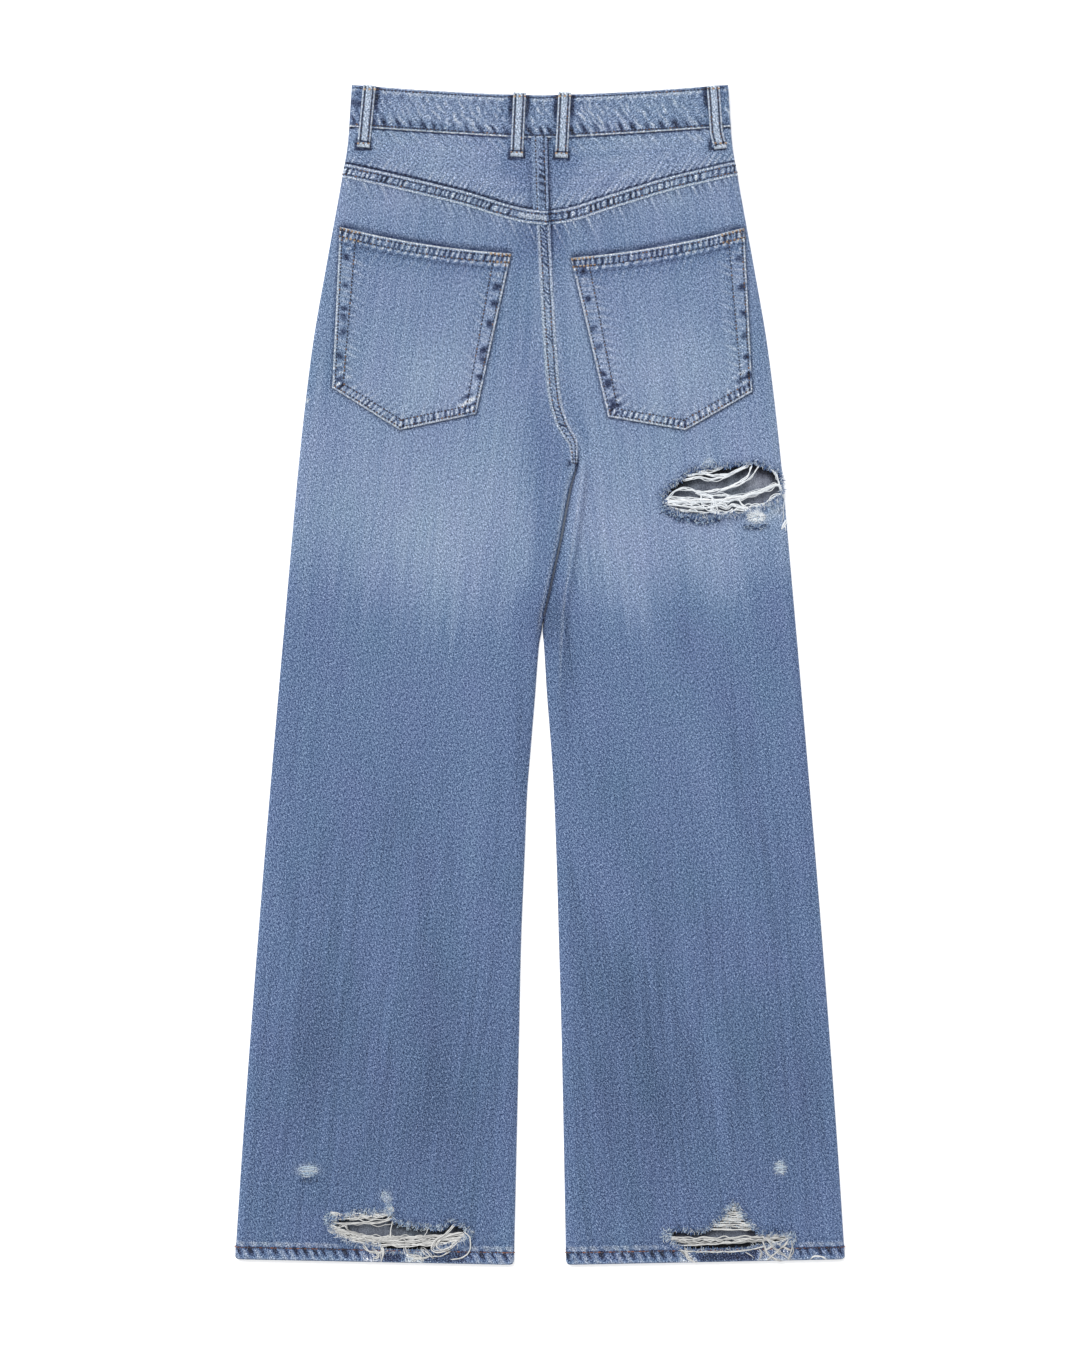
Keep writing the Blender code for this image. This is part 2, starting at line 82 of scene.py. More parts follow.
class Shade:
    """A node's socket that can be used in sums and products."""

    def __init__(self, tree, socket=None):
        self.tree = tree
        self.socket = socket

    def node(self, kind, settings=None, inputs=None, output=0):
        """Adds a node: its settings, then its sockets' values or links."""
        node = self.tree.nodes.new(kind)
        for label, value in (settings or {}).items():
            if label == "stops":
                ramp = node.color_ramp
                while len(ramp.elements) < len(value):
                    ramp.elements.new(0.5)
                for element, (position, colour) in zip(ramp.elements, value):
                    element.position = position
                    element.color = (*colour, 1)
            else:
                setattr(node, label, value)
        for label, value in (inputs or {}).items():
            if isinstance(value, Shade):
                self.tree.links.new(value.socket, node.inputs[label])
            else:
                node.inputs[label].default_value = value
        return Shade(self.tree, node.outputs[output])

    def maths(self, operation, first, second=0.0, clamp=False):
        settings = {"operation": operation, "use_clamp": clamp}
        return self.node("ShaderNodeMath", settings, {0: first, 1: second})

    def __add__(self, other):
        return self.maths("ADD", self, other)

    __radd__ = __add__

    def __sub__(self, other):
        return self.maths("SUBTRACT", self, other)

    def __rsub__(self, other):
        return self.maths("SUBTRACT", other, self)

    def __mul__(self, other):
        return self.maths("MULTIPLY", self, other)

    __rmul__ = __mul__

    def clamped(self):
        return self.maths("ADD", self, 0.0, clamp=True)

    def power(self, gamma):
        """The colour with each of its three parts raised to a power."""
        return self.node("ShaderNodeGamma", {}, {"Color": self, "Gamma": gamma})

    def tinted(self, amount, shift):
        """The colour moved by `shift` times a varying amount."""
        change = self.node("ShaderNodeVectorMath", {"operation": "SCALE"}, {0: shift, "Scale": amount})
        return self.node("ShaderNodeVectorMath", {"operation": "ADD"}, {0: self, 1: change})

    def into(self, shader, label):
        """Links this socket to the shader's."""
        self.tree.links.new(self.socket, shader.inputs[label])


def new_material(name, **values):
    """A Principled material, with constants set on the shader's own sockets."""
    material = bpy.data.materials.new(name)
    material.use_nodes = True
    shader = material.node_tree.nodes["Principled BSDF"]
    for label, value in values.items():
        shader.inputs[label.replace("_", " ").title()].default_value = value
    return material, Shade(material.node_tree), shader


scene = bpy.context.scene
scene.view_settings.view_transform = "Standard"
camera = new_object("camera", bpy.data.cameras.new("camera"))
camera.data.lens = 85
camera.data.sensor_width = 36
camera.location = (0, 0, 3.002)
bpy.context.scene.camera = camera

scene.world = bpy.data.worlds.new("white_room")
scene.world.use_nodes = True
scene.world.node_tree.nodes["Background"].inputs["Color"].default_value = (1, 1, 1, 1)
scene.world.node_tree.nodes["Background"].inputs["Strength"].default_value = 0.60

# The lamp shines down, from beyond the waist and a little to the left.
LAMP_TRAVEL = (0.42, -0.72, -1)
lamp = new_object("soft_lamp", bpy.data.lights.new("soft_lamp", "SUN"))
lamp.data.energy = 1.85
lamp.data.angle = math.radians(24)
lamp.rotation_euler = Vector(LAMP_TRAVEL).to_track_quat("-Z", "Y").to_euler()

TABLE_HALF = 3000
TABLE_Z = -0.2
table_corners = [(TABLE_HALF * x, TABLE_HALF * y, TABLE_Z) for x, y in ((-1, -1), (1, -1), (1, 1), (-1, 1))]
table = new_object("table", new_mesh("table", table_corners, [(0, 1, 2, 3)]))
table_paint, _, _ = new_material(
    "table_paint", base_color=(0.95, 0.95, 0.95, 1), roughness=0.8,
    emission_color=(1, 1, 1, 1), emission_strength=0.40,
)
table.data.materials.append(table_paint)


# ---------------------------------------------------------------------------
# Back legs. Each is one panel of washed twill, cut wide, that lies on the front
# and turns down at its edges. The dye is worn off the seat and thighs, and the
# panel is torn through at the right thigh and over both hems.

TOP = cad_box[1][1] / MM
CLOTH = 1.2
HEM_WALL = 2.6
HEM_Y = -550
HEM_DEPTH = 12.5
SEAM_GAP = 0.3
LAID_GAP = 0.45
PLATEAU = 5.9
WAIST_RISE = 1.8
WAIST_HALF = 177
EDGE_REACH = 10
FRONT_LIFT = 1.8
BAND_DEPTH = 38.7
BACK_DIP = 9.8
FRONT_DIP = 24
RIP_LIFT = 1.5
SIDES = {"left": -1, "right": 1}


class Profile:
    """Smooth curve through a table's rows, over its first column, with no overshoot."""

    def __init__(self, rows, column=1):
        rows = np.array(rows, dtype=float)
        rows = rows[np.argsort(rows[:, 0])]
        self.knot, self.value = rows[:, 0], rows[:, column]
        rise = np.diff(self.value) / np.diff(self.knot)
        before, after = rise[:-1], rise[1:]
        turns = before * after <= 0
        mean = 2 * before * after / np.where(turns, 1, before + after)
        self.slope = np.concatenate(([rise[0]], np.where(turns, 0, mean), [rise[-1]]))

    def __call__(self, where):
        where = np.clip(where, self.knot[0], self.knot[-1])
        low = np.clip(np.searchsorted(self.knot, where) - 1, 0, len(self.knot) - 2)
        span = self.knot[low + 1] - self.knot[low]
        t = (where - self.knot[low]) / span
        start = (1 + 2 * t) * (1 - t) ** 2 * self.value[low]
        leave = t * (1 - t) ** 2 * span * self.slope[low]
        end = t ** 2 * (3 - 2 * t) * self.value[low + 1]
        arrive = t ** 2 * (t - 1) * span * self.slope[low + 1]
        return start + leave + end + arrive


half_width = Profile([
    (TOP, WAIST_HALF), (502, 180.6), (465, 186.6), (390, 200.2), (314, 213.4), (239, 222.8), (164, 230.3),
    (-546, 286.7), (-556, 287.2),
])
# The line between the legs: y, x, and half the gap between their edges.
centre_line = [
    (504, 6.6, 0.2), (434, 8.5, 0.2), (381, 11, 0.2), (311, 15, 0.2), (263, 19, 0.2), (239, 25, 0.2),
    (217, 35, 0.2), (200, 34.5, 0.2), (177, 28.7, 0.2), (128, 19.4, 0.2), (81, 9.2, 0.2),
    (46, 2.4, 0.2), (28, 1.4, 2.3), (-19, 1, 5.6), (-66, 0.9, 9.4), (-113, 0.5, 12.7),
    (-160, 0.5, 14.6), (-254, 0, 17.9), (-348, 0.3, 20.2), (-556, 0, 24.6),
]
centre_x = Profile(centre_line)
half_gap = Profile(centre_line, 2)
yoke_seam = Profile([
    (-184, 481.2), (-135, 470.5), (-80, 457.4), (8.3, 436.5), (71.4, 452.9), (118, 466.9), (184, 482.5),
])
# The fold that runs down from the seat: y, x and height.
crotch_fold = [
    (200, 40, 0), (170, 37, 1.1), (126, 31, 1.3), (57, 21.5, 1), (-2, 18.5, 0.4), (-40, 18, 0),
]
fold_x = Profile(crotch_fold)
fold_height = Profile(crotch_fold, 2)

# Soft ovals, here as everywhere: centre x and y, half width, half length, slant, amount.
# These are the broad waves that the cloth lies in.
swells = (
    (-120, 60, 45, 120, 0, -0.35), (-60, -220, 40, 160, 0, 0.3), (-205, -300, 35, 150, 0, -0.3),
    (95, 40, 40, 110, 0, 0.3), (165, -180, 45, 150, 0, -0.35), (70, -380, 35, 120, 0, 0.3),
    (0, 330, 60, 60, 0, -0.3),
)
# Smaller creases: long ones down the legs and short drags below the seat.
creases = (
    (-150, 175, 9, 70, 14, 0.30), (-95, 150, 8, 60, 9, -0.30), (-48, 150, 7, 75, 4, 0.32),
    (-30, 60, 7, 60, -3, -0.30), (-70, -40, 10, 80, -4, 0.35), (-175, -60, 11, 95, 6, -0.32),
    (-120, -160, 9, 85, 3, 0.30), (-215, -190, 10, 90, 5, 0.28), (-60, -300, 9, 90, -2, -0.32),
    (-165, -350, 10, 80, 4, 0.30), (-235, -420, 9, 80, 4, -0.26), (-95, -455, 8, 60, 2, 0.26),
    (66, 175, 7, 60, -8, 0.35), (58, 75, 8, 80, -4, -0.38), (100, 90, 9, 60, -10, 0.30),
    (150, 70, 10, 70, -12, -0.30), (110, -35, 9, 80, -10, 0.34), (160, -110, 10, 95, -11, -0.32),
    (55, -190, 9, 100, -14, 0.32), (205, -230, 11, 90, -6, 0.30), (120, -300, 9, 80, -8, -0.30),
    (235, -390, 9, 90, -5, -0.26), (75, -430, 9, 70, -3, 0.28), (175, -430, 10, 60, -6, 0.28),
)


def rounded(inset, reach=EDGE_REACH):
    """Quarter circle: 0 at an edge, 1 once `reach` inside it."""
    t = np.clip(inset / reach, 0, 1)
    return np.sqrt(1 - (1 - t) ** 2)


def eased(value, start, end):
    """0 at `start`, 1 at `end`, with a soft change between."""
    t = np.clip((value - start) / (end - start), 0, 1)
    return t * t * (3 - 2 * t)


def window(value, rise, full, fall, none):
    """0, then 1 from `full` to `fall`, then 0 again from `none` on, softly."""
    return eased(value, rise, full) * eased(-value, -none, -fall)


def bell(value, middle, width):
    return np.exp(-((value - middle) / width) ** 2)


def fading(distance, reach):
    """1 up to a line, and less and less beyond it."""
    return np.exp(-np.clip(distance, 0, None) / reach)


def patches(ovals, x, y):
    """Sum of soft ovals. `slant` turns a long one, in degrees, so its top leans left."""
    total = np.zeros(np.broadcast(x, y).shape)
    for cx, cy, width, length, slant, value in ovals:
        turn = math.radians(slant)
        across = (x - cx) * math.cos(turn) + (y - cy) * math.sin(turn)
        along = (y - cy) * math.cos(turn) - (x - cx) * math.sin(turn)
        total = total + value * np.exp(-(across / width) ** 2 - (along / length) ** 2)
    return total


def puckers(along, pitch, seed):
    """Ridges and troughs along a seam, from -1 to 1, uneven in size and spacing."""
    random = np.random.default_rng(seed)
    count = int(3100 / pitch)
    knot = np.cumsum(random.uniform(0.3, 0.7, count)) * pitch - 750
    size = random.uniform(0.35, 1, count) * np.where(np.arange(count) % 2, 1, -1)
    here = np.clip(np.searchsorted(knot, along) - 1, 0, count - 2)
    share = eased(along, knot[here], knot[here + 1])
    return size[here] + share * (size[here + 1] - size[here])


def from_side(x, y):
    return half_width(y) - np.abs(x)


def from_inseam(x, y):
    return np.abs(x - centre_x(y)) - half_gap(y)


def beside_seat(x, y):
    """Distance from the strip that the seat's fell covers."""
    return np.abs(x - centre_x(y) + 5) - 5.5


def hem_level(x):
    return -549.2 - 5.3 * (1 - (np.abs(x) - 24.6) / 262)


def hem_corner(x, radius=3.6):
    """How far the hem's lower edge rises at its two rounded corners."""
    inset = np.clip(np.minimum(from_side(x, HEM_Y), from_inseam(x, HEM_Y)), 0, radius)
    return radius - np.sqrt(radius**2 - (radius - inset) ** 2)


def hem_edge(x):
    return hem_level(x) + hem_corner(x)


def above_hem(x, y):
    return y - hem_edge(x) - HEM_DEPTH


def hem_ropes(x, y, seed):
    """The slanting ropes that a hem's stitching draws the cloth into."""
    return puckers(x + 0.45 * y, 9.6, seed)


def waist_edge(x, dip=BACK_DIP):
    return TOP - dip * (1 - np.clip(np.abs(x) / WAIST_HALF, 0, 1) ** 1.5)


def waist_seam(x, dip=BACK_DIP + 1.7):
    out = np.clip(np.hypot(x, 15) / 180, 0, 1)
    return TOP - BAND_DEPTH - dip * (1 - out ** 1.1)


def front_face(y):
    """Underside of the front: on the floor, but lifted towards the waist."""
    return FRONT_LIFT * eased(y, 330, 470)


def rim_height(y, front_wall=CLOTH):
    return front_face(y) + front_wall + SEAM_GAP


def back_face(x, y, front_wall=CLOTH):
    """Height of the back's outer face, without its small creases."""
    top = PLATEAU + WAIST_RISE * eased(y, 380, 500) + patches(swells, x, y)
    top = top + fold_height(y) * bell(x, fold_x(y), 7)
    parted = eased(-y, -216, -160)
    rim = rim_height(y, front_wall)
    return rim + (top - rim) * rounded(from_side(x, y)) * (1 - parted * (1 - rounded(from_inseam(x, y))))


def leg_relief(x, y):
    """Creases of the back legs, and the puckers that the seams draw into them."""
    rise = patches(creases, x, y)
    below_yoke = yoke_seam(x) - 10.5 - y
    rise = rise + 0.28 * puckers(x + 0.35 * y, 5.4, 11) * fading(below_yoke, 6.5)
    seat = eased(y, 190, 240) * fading(beside_seat(x, y), 6)
    rise = rise + 0.22 * puckers(y + 0.5 * np.abs(x), 6.5, 12) * seat
    rise = rise + 0.30 * hem_ropes(x, y, 13) * fading(above_hem(x, y), 9)
    past = x - centre_x(y)
    step = np.where(past < 0, 0.9 * bell(past, -1, 6), -1.3 * bell(past, 0, 5))
    rise = rise + window(y, 46, 70, 195, 215) * step
    return rise * rounded(from_side(x, y), 6)


def leg_face(x, y, front_wall=CLOTH):
    return back_face(x, y, front_wall) + leg_relief(x, y)


def spread(*stops):
    """Numbers from stop to stop. Each stop is (place, spacing from there on)."""
    parts = [
        np.linspace(low, high, max(int(round((high - low) / gap)), 1), endpoint=False)
        for (low, gap), (high, _) in zip(stops, stops[1:])
    ]
    return np.concatenate((*parts, [stops[-1][0]]))


def panel_grid(low, high, bottom, top, rows, count, edge_low, edge_high, settle=(900, 900)):
    """x and y over a panel whose sides are functions of y and whose ends are of x.

    `rows` are stops for the rows' heights, given the two ends, and `count` is the
    number of columns between the ones at the insets of each edge.
    """
    share = np.linspace(0, 1, count + 2)[1:-1]
    shift = np.concatenate((
        edge_low, edge_low[-1] * (1 - share) - edge_high[-1] * share, -np.array(edge_high)[::-1],
    ))
    share = np.concatenate((np.zeros(len(edge_low)), share, np.ones(len(edge_high))))

    def across(y):
        return low(y) + share * (high(y) - low(y)) + shift

    def end_line(line):
        y = np.full(len(share), float(line(0.0)))
        for _ in range(8):
            y = line(across(y))
        return y

    foot, head = end_line(bottom), end_line(top)
    middle = len(share) // 2
    levels = spread(*rows(foot[middle], head[middle]))[:, None]
    reach = np.minimum(settle, levels[-1] - levels[0])
    near_foot = np.clip(1 - (levels - levels[0]) / reach[0], 0, 1)
    near_head = np.clip(1 - (levels[-1] - levels) / reach[1], 0, 1)
    y = levels + near_foot * (foot - foot[middle]) + near_head * (head - head[middle])
    return np.array([across(row) for row in y]), y


def distances(path):
    """How far along a line of points each one is."""
    return np.concatenate(([0], np.cumsum(np.linalg.norm(np.diff(path, axis=0), axis=1))))


def resampled(path, gap):
    """Points about `gap` apart along a line of points."""
    path = np.asarray(path, dtype=float)
    length = distances(path)
    where = np.linspace(0, length[-1], max(int(round(length[-1] / gap)), 2) + 1)
    return np.stack([np.interp(where, length, path[:, axis]) for axis in range(path.shape[1])], axis=-1)


def on_height(x, y, z):
    return np.stack((x, y, np.broadcast_to(z, x.shape)), axis=-1)


def inward(points, depth, floor):
    """The inner face of a wall: points moved in along the surface's normal."""
    normal = np.cross(np.gradient(points, axis=1), np.gradient(points, axis=0))
    normal /= np.linalg.norm(normal, axis=2, keepdims=True)
    moved = points - normal * depth
    moved[..., 2] = np.maximum(moved[..., 2], floor)
    return moved


def thinned(count, step):
    """Even indices from 0 to count - 1, about `step` apart."""
    return np.unique(np.round(np.linspace(0, count - 1, max(int((count - 1) / step), 1) + 1)).astype(int))


def cloth_wall(name, cloths, outer, inner, step=4, flip=False):
    """Closed wall of cloth: a fine outer face, a coarser inner one and a rim.

    Of its two cloths, the first covers the outer face and the rim.
    """
    rows, cols = outer.shape[:2]
    grid = np.arange(rows * cols).reshape(rows, cols)
    quads = np.stack((grid[:-1, :-1], grid[:-1, 1:], grid[1:, 1:], grid[1:, :-1]), axis=-1)
    faces = quads.reshape(-1, 4).tolist()
    pick_row, pick_col = thinned(rows, step), thinned(cols, step)
    used = np.zeros((rows, cols), dtype=bool)
    used[[0, -1], :] = True
    used[:, [0, -1]] = True
    used[np.ix_(pick_row, pick_col)] = True
    place = np.full((rows, cols), -1)
    place[used] = rows * cols + np.arange(used.sum())
    ring = [*grid[0, :-1], *grid[:-1, -1], *grid[-1, :0:-1], *grid[:0:-1, 0]]
    under = place.reshape(-1)
    for here, beside in zip(ring, ring[1:] + ring[:1]):
        faces.append([int(here), int(under[here]), int(under[beside]), int(beside)])
    outside = len(faces)
    for r0, r1 in zip(pick_row, pick_row[1:]):
        for c0, c1 in zip(pick_col, pick_col[1:]):
            loop = [place[r0, c] for c in (range(c0, c1) if r0 == 0 else [c0])]
            loop += [place[r, c1] for r in (range(r0, r1) if c1 == cols - 1 else [r0])]
            loop += [place[r1, c] for c in (range(c1, c0, -1) if r1 == rows - 1 else [c1])]
            loop += [place[r, c0] for r in (range(r1, r0, -1) if c0 == 0 else [r1])]
            faces.append([int(i) for i in reversed(loop)])
    if flip:
        faces = [face[::-1] for face in faces]
    slots = np.zeros(len(faces), dtype=int)
    slots[outside:] = 1
    points = np.concatenate((outer.reshape(-1, 3), inner[used]))
    piece = new_object(name, new_mesh(name, points, faces, slots))
    for cloth in cloths:
        piece.data.materials.append(cloth)
    return piece


def place(piece, slot, node=None):
    """Puts a piece on the body and hides the CAD node it stands for. Its slot is not used."""
    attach(piece, "root")
    if node:
        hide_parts(node)


def spots(mesh):
    """The mesh's points, in metres."""
    spot = np.zeros((len(mesh.vertices), 3), dtype=np.float32)
    mesh.vertices.foreach_get("co", spot.ravel())
    return spot


def stored(mesh, label):
    value = np.zeros(len(mesh.vertices), dtype=np.float32)
    mesh.attributes[label].data.foreach_get("value", value)
    return value


def store(mesh, label, value):
    """Keeps a number for every point of the mesh under a name."""
    layer = mesh.attributes.get(label) or mesh.attributes.new(label, "FLOAT", "POINT")
    layer.data.foreach_set("value", value.astype(np.float32))


def store_grain(mesh, chart):
    """Keeps the grain map, which is in millimetres, with v along the warp."""
    corner = np.zeros(len(mesh.loops), dtype=np.int32)
    mesh.loops.foreach_get("vertex_index", corner)
    mesh.uv_layers.new(name="grain").data.foreach_set("uv", chart[corner].astype(np.float32).ravel())


def paint(piece, fade, wear=None, grain=None):
    """Stores how faded and how worn the cloth is, with its painted shade, and the way its grain runs.

    `fade` and `wear` are functions of x and y in millimetres. `fade` goes from 0,
    deep blue, to 1, washed out. `wear` goes from -2, ink blue, to 1, white. Low values are kept dye, and in
    places painted shadow.
    """
    x, y = spots(piece.data)[:, :2].astype(float).T / MM
    for label, value in (("fade", fade), ("wear", wear)):
        amount = np.zeros(len(x)) if value is None else np.broadcast_to(value(x, y), x.shape)
        store(piece.data, label, np.clip(amount, -2, 1.5))
    store_grain(piece.data, np.stack((x, y) if grain is None else grain(x, y), axis=-1))


def linear(red, green, blue):
    """Linear colour from the 0 to 255 shades that a colour card gives."""
    return tuple(
        shade / 255 / 12.92 if shade <= 10 else ((shade / 255 + 0.055) / 1.055) ** 2.4
        for shade in (red, green, blue)
    )


def noise(start, spot, scale, detail=2, roughness=0.5):
    """Noise from 0 to 1 on `spot`, in millimetres, with features about `scale` wide."""
    stretched = start.node("ShaderNodeVectorMath", {"operation": "MULTIPLY"}, {
        0: spot, 1: (1 / scale[0], 1 / scale[1], 1),
    })
    inputs = {"Vector": stretched, "Scale": 1, "Detail": detail, "Roughness": roughness}
    return start.node("ShaderNodeTexNoise", {"noise_dimensions": "2D"}, inputs)


TWILL_ANGLE = -29

# Dye from unwashed to washed out. Fade 0 is at 0.3 and fade 1 at 0.7.
DENIM_STOPS = (
    (0, linear(20, 36, 66)), (0.1, linear(34, 52, 86)), (0.3, linear(73, 94, 129)),
    (0.4, linear(89, 111, 149)), (0.5, linear(97, 120, 156)), (0.6, linear(118, 138, 171)),
    (0.7, linear(135, 153, 182)), (0.9, linear(172, 186, 205)), (1, linear(194, 205, 219)),
)
# Wear below 0 mixes the cloth towards NAVY and below -1 towards INK: kept dye in troughs and dots, and
# painted shadow beside raised edges, seams and loops.
NAVY = linear(39, 54, 88)
INK = linear(13, 21, 40)
WORN_WHITE = linear(208, 214, 221)


def denim(name, stops=DENIM_STOPS, speckle=1, mottle=0):
    """Washed twill. It reads fade, wear and the grain map, which `paint` stores."""
    material, start, shader = new_material(name, roughness=0.88)
    grain = start.node("ShaderNodeUVMap", {"uv_map": "grain"})
    fade = start.node("ShaderNodeAttribute", {"attribute_name": "fade"}, output=2)
    wear = start.node("ShaderNodeAttribute", {"attribute_name": "wear"}, output=2)
    turned = start.node("ShaderNodeVectorRotate", {"rotation_type": "Z_AXIS"}, {
        "Vector": grain, "Angle": math.radians(TWILL_ANGLE),
    })
    cloud = noise(start, grain, (60, 85), 3)
    slub = noise(start, grain, (2.6, 70))
    streak = noise(start, grain, (7, 160))
    fleck = noise(start, turned, (1.35, 2.5), 1, 0.6)
    pepper = noise(start, turned, (0.92, 1.15), 1)
    blotch = noise(start, grain, (2.9, 3.6), 2, 0.6)
    hue = noise(start, grain, (44, 80))
    twill = start.node("ShaderNodeTexWave", {"wave_type": "BANDS", "bands_direction": "X"}, {
        "Vector": turned, "Scale": 0.088, "Distortion": 2.6, "Detail": 2, "Detail Scale": 2.4,
    }, output=1)
    texture = (fleck - 0.5) * 0.47 + (pepper - 0.5) * 0.82 + (twill - 0.5) * 0.034
    texture = texture * speckle + (blotch - 0.5) * mottle
    tone = fade + (cloud - 0.5) * 0.08 + (slub - 0.5) * 0.30 + (streak - 0.5) * 0.34
    cloth = start.node("ShaderNodeValToRGB", {"stops": stops}, {"Fac": tone * 0.4 + 0.3})
    # Below 0 the cloth mixes to navy, and below -1 to ink: kept dye, and painted shadow beside raised edges.
    rough_wear_and_shade = wear + (fleck - 0.5) * wear * 0.7 + (pepper - 0.5) * wear * 0.5
    amounts = ((rough_wear_and_shade * -1).clamped(), (rough_wear_and_shade * -1 - 1).clamped(), rough_wear_and_shade.clamped())
    for amount, colour in zip(amounts, (NAVY, INK, WORN_WHITE)):
        mixed = {0: amount, 6: cloth, 7: (*colour, 1)}
        cloth = start.node("ShaderNodeMix", {"data_type": "RGBA"}, mixed, output=2)
    cloth = cloth.power(1 / 2.2).tinted(texture, (1, 1, 1)).tinted(hue - 0.5, (0.028, -0.008, 0.020))
    cloth.power(2.2).into(shader, "Base Color")
    weave = fleck * 0.6 + pepper * 0.35 + twill * 0.35
    surface = {"Height": weave, "Strength": 0.5, "Distance": 0.0004}
    start.node("ShaderNodeBump", {}, surface).into(shader, "Normal")
    return material


# How the dye is left over the legs, from the seat down.
wash = Profile([
    (500, 0.80), (470, 0.78), (436, 0.70), (400, 0.62), (330, 0.62), (250, 0.74), (200, 0.80),
    (150, 0.82), (110, 0.74), (80, 0.61), (50, 0.48), (20, 0.40), (-60, 0.31), (-120, 0.26),
    (-200, 0.21), (-300, 0.14), (-400, 0.10), (-480, 0.13), (-556, 0.18),
])
wash_marks = (
    (-88, 85, 55, 60, 0, 0.18), (-215, 95, 32, 70, 0, -0.14), (-95, 160, 70, 60, 0, 0.08),
    (75, 100, 26, 55, 14, 0.18), (97, 60, 20, 38, 20, 0.13), (163, 90, 28, 50, 8, 0.15),
    (132, 42, 11, 26, 12, -0.16), (218, 60, 20, 60, 0, -0.12), (12, 225, 18, 60, 6, -0.30),
    (10, 120, 16, 95, 8, -0.36), (20, 335, 24, 70, 6, 0.28), (2, 54, 20, 30, 0, -0.40),
    (-18, -50, 9, 70, 0, -0.24), (27, 0, 10, 50, 0, -0.16), (0, 411, 19, 22, 0, -0.56),
    (0, 350, 26, 60, 0, -0.10), (-110, 448, 60, 9, 10, 0.12), (100, 450, 60, 9, -10, 0.12),
    (128, -35, 13, 95, 20, 0.11), (170, -160, 14, 90, 14, 0.09), (192, -90, 15, 110, 10, -0.09),
    (55, -190, 17, 95, 24, 0.08), (78, -300, 32, 90, 20, -0.10), (158, -350, 12, 110, 12, 0.10),
    (95, -440, 45, 80, 0, -0.05), (-62, -150, 11, 110, -3, 0.16), (-144, -134, 28, 70, 6, -0.085),
    (-207, -340, 24, 70, 4, -0.12), (-100, -400, 28, 95, 0, -0.08), (-150, -250, 13, 110, 4, 0.10),
    (-245, -250, 14, 130, 5, 0.12), (135, 45, 95, 55, 0, -0.10),
)


def leg_fade(x, y):
    edges = fading(from_side(x, y), 9) + fading(from_inseam(x, y), 9)
    past = x - centre_x(y)
    seat = eased(y, 200, 240) * (0.06 * bell(past, -18, 5) - 0.22 * bell(past, 9.5, 5.5))
    return wash(y) + patches(wash_marks, x, y) + 0.20 * eased(-y, 60, 260) * edges + seat


def leg_wear_and_shade(x, y):
    """Ridges rub pale and troughs stay dark, as the seams draw the cloth up. The crotch's overlap and fold
    get painted shadow and highlight.
    """
    below_yoke = yoke_seam(x) - 10.5 - y
    drags = puckers(x + 0.5 * y, 5.4, 11) + 0.35 * puckers(x + 0.4 * y, 8.3, 14) - 0.15
    wear = 0.95 * drags * fading(below_yoke - 2, 8 + 5 * bell(x, 4, 44))
    seat = eased(y, 190, 240) * fading(beside_seat(x, y), 5)
    wear = wear + 0.22 * puckers(y + 0.5 * np.abs(x), 6.5, 12) * seat
    hem_gap = above_hem(x, y)
    wear = wear + 0.34 * (hem_ropes(x, y, 13) + 0.10) * fading(hem_gap, 5)
    wear = wear + 0.22 * bell(hem_gap, 3, 1.9) - 0.22 * bell(hem_gap, 6.6, 1.6)
    past = x - centre_x(y)
    # Painted shadow in the gap where the left leg lies over the right, with a pale line on the left leg's
    # edge.
    overlap = window(y, 30, 60, 200, 220)
    wear = wear + overlap * (0.22 * bell(past, -2.6, 1.5) - 1.3 * bell(past, 0.6, 1.7))
    # Painted highlight on the crotch fold's ridge and painted shadow in the trough beside it.
    ridge = 0.22 * bell(x, fold_x(y) + 1, 1.6) - 0.35 * bell(x, fold_x(y) + 4.5, 2.6)
    return wear + window(y, -40, 40, 185, 205) * ridge


cloth_denim = denim("denim")
mottled_denim = denim("denim_mottled", speckle=1.2, mottle=0.05)
# The wrong side's darkest stops give the painted shadow inside the rips.
wrong_side = denim("denim_wrong_side", (
    (0, linear(16, 19, 26)), (0.1, linear(26, 30, 38)), (0.3, linear(58, 64, 76)),
    (0.5, linear(112, 119, 132)), (0.7, linear(150, 157, 168)), (0.9, linear(178, 184, 191)),
), speckle=0.4)
PANEL = (cloth_denim, wrong_side)
MOTTLED = (mottled_denim, wrong_side)
FOLDED = (mottled_denim, mottled_denim)

LEG_EDGE = (0, 0.3, 0.8, 1.6, 2.8, 4.4, 6.2, 8, 10)
LEG_FOLD = (0, 1, 2.2, 3.6, 5, 7, 9, 11, 13)
LEG_LEAN = 6


def sides_of(side):
    """The panel's low-x and high-x edges over y."""
    def outer(y):
        return SIDES[side] * half_width(y)

    def inner(y):
        return centre_x(y) + SIDES[side] * half_gap(y)

    return (outer, inner) if side == "left" else (inner, outer)


def back_leg(side):
    insets = (LEG_EDGE, LEG_FOLD) if side == "left" else (LEG_FOLD, LEG_EDGE)
    x, y = panel_grid(
        *sides_of(side), hem_edge, lambda x: yoke_seam(x) - SEAM_GAP / 2,
        lambda foot, head: ((foot, 2), (foot + 26, 3), (20, 2.4), (head - 20, 1.5), (head, 0)),
        100, *insets, settle=(240, 240),
    )
    if side == "left":
        tuck = window(y, 46, 60, 195, 215)
        x = x + 1.6 * tuck * np.clip(1 - (centre_x(y) - half_gap(y) - x) / 12, 0, 1)
    wall = np.where(y < hem_edge(x) + HEM_DEPTH, HEM_WALL, CLOTH)
    outer = on_height(x, y, leg_face(x, y, wall))
    return cloth_wall(f"back_leg_{side}", PANEL, outer, inward(outer, CLOTH, rim_height(y)))


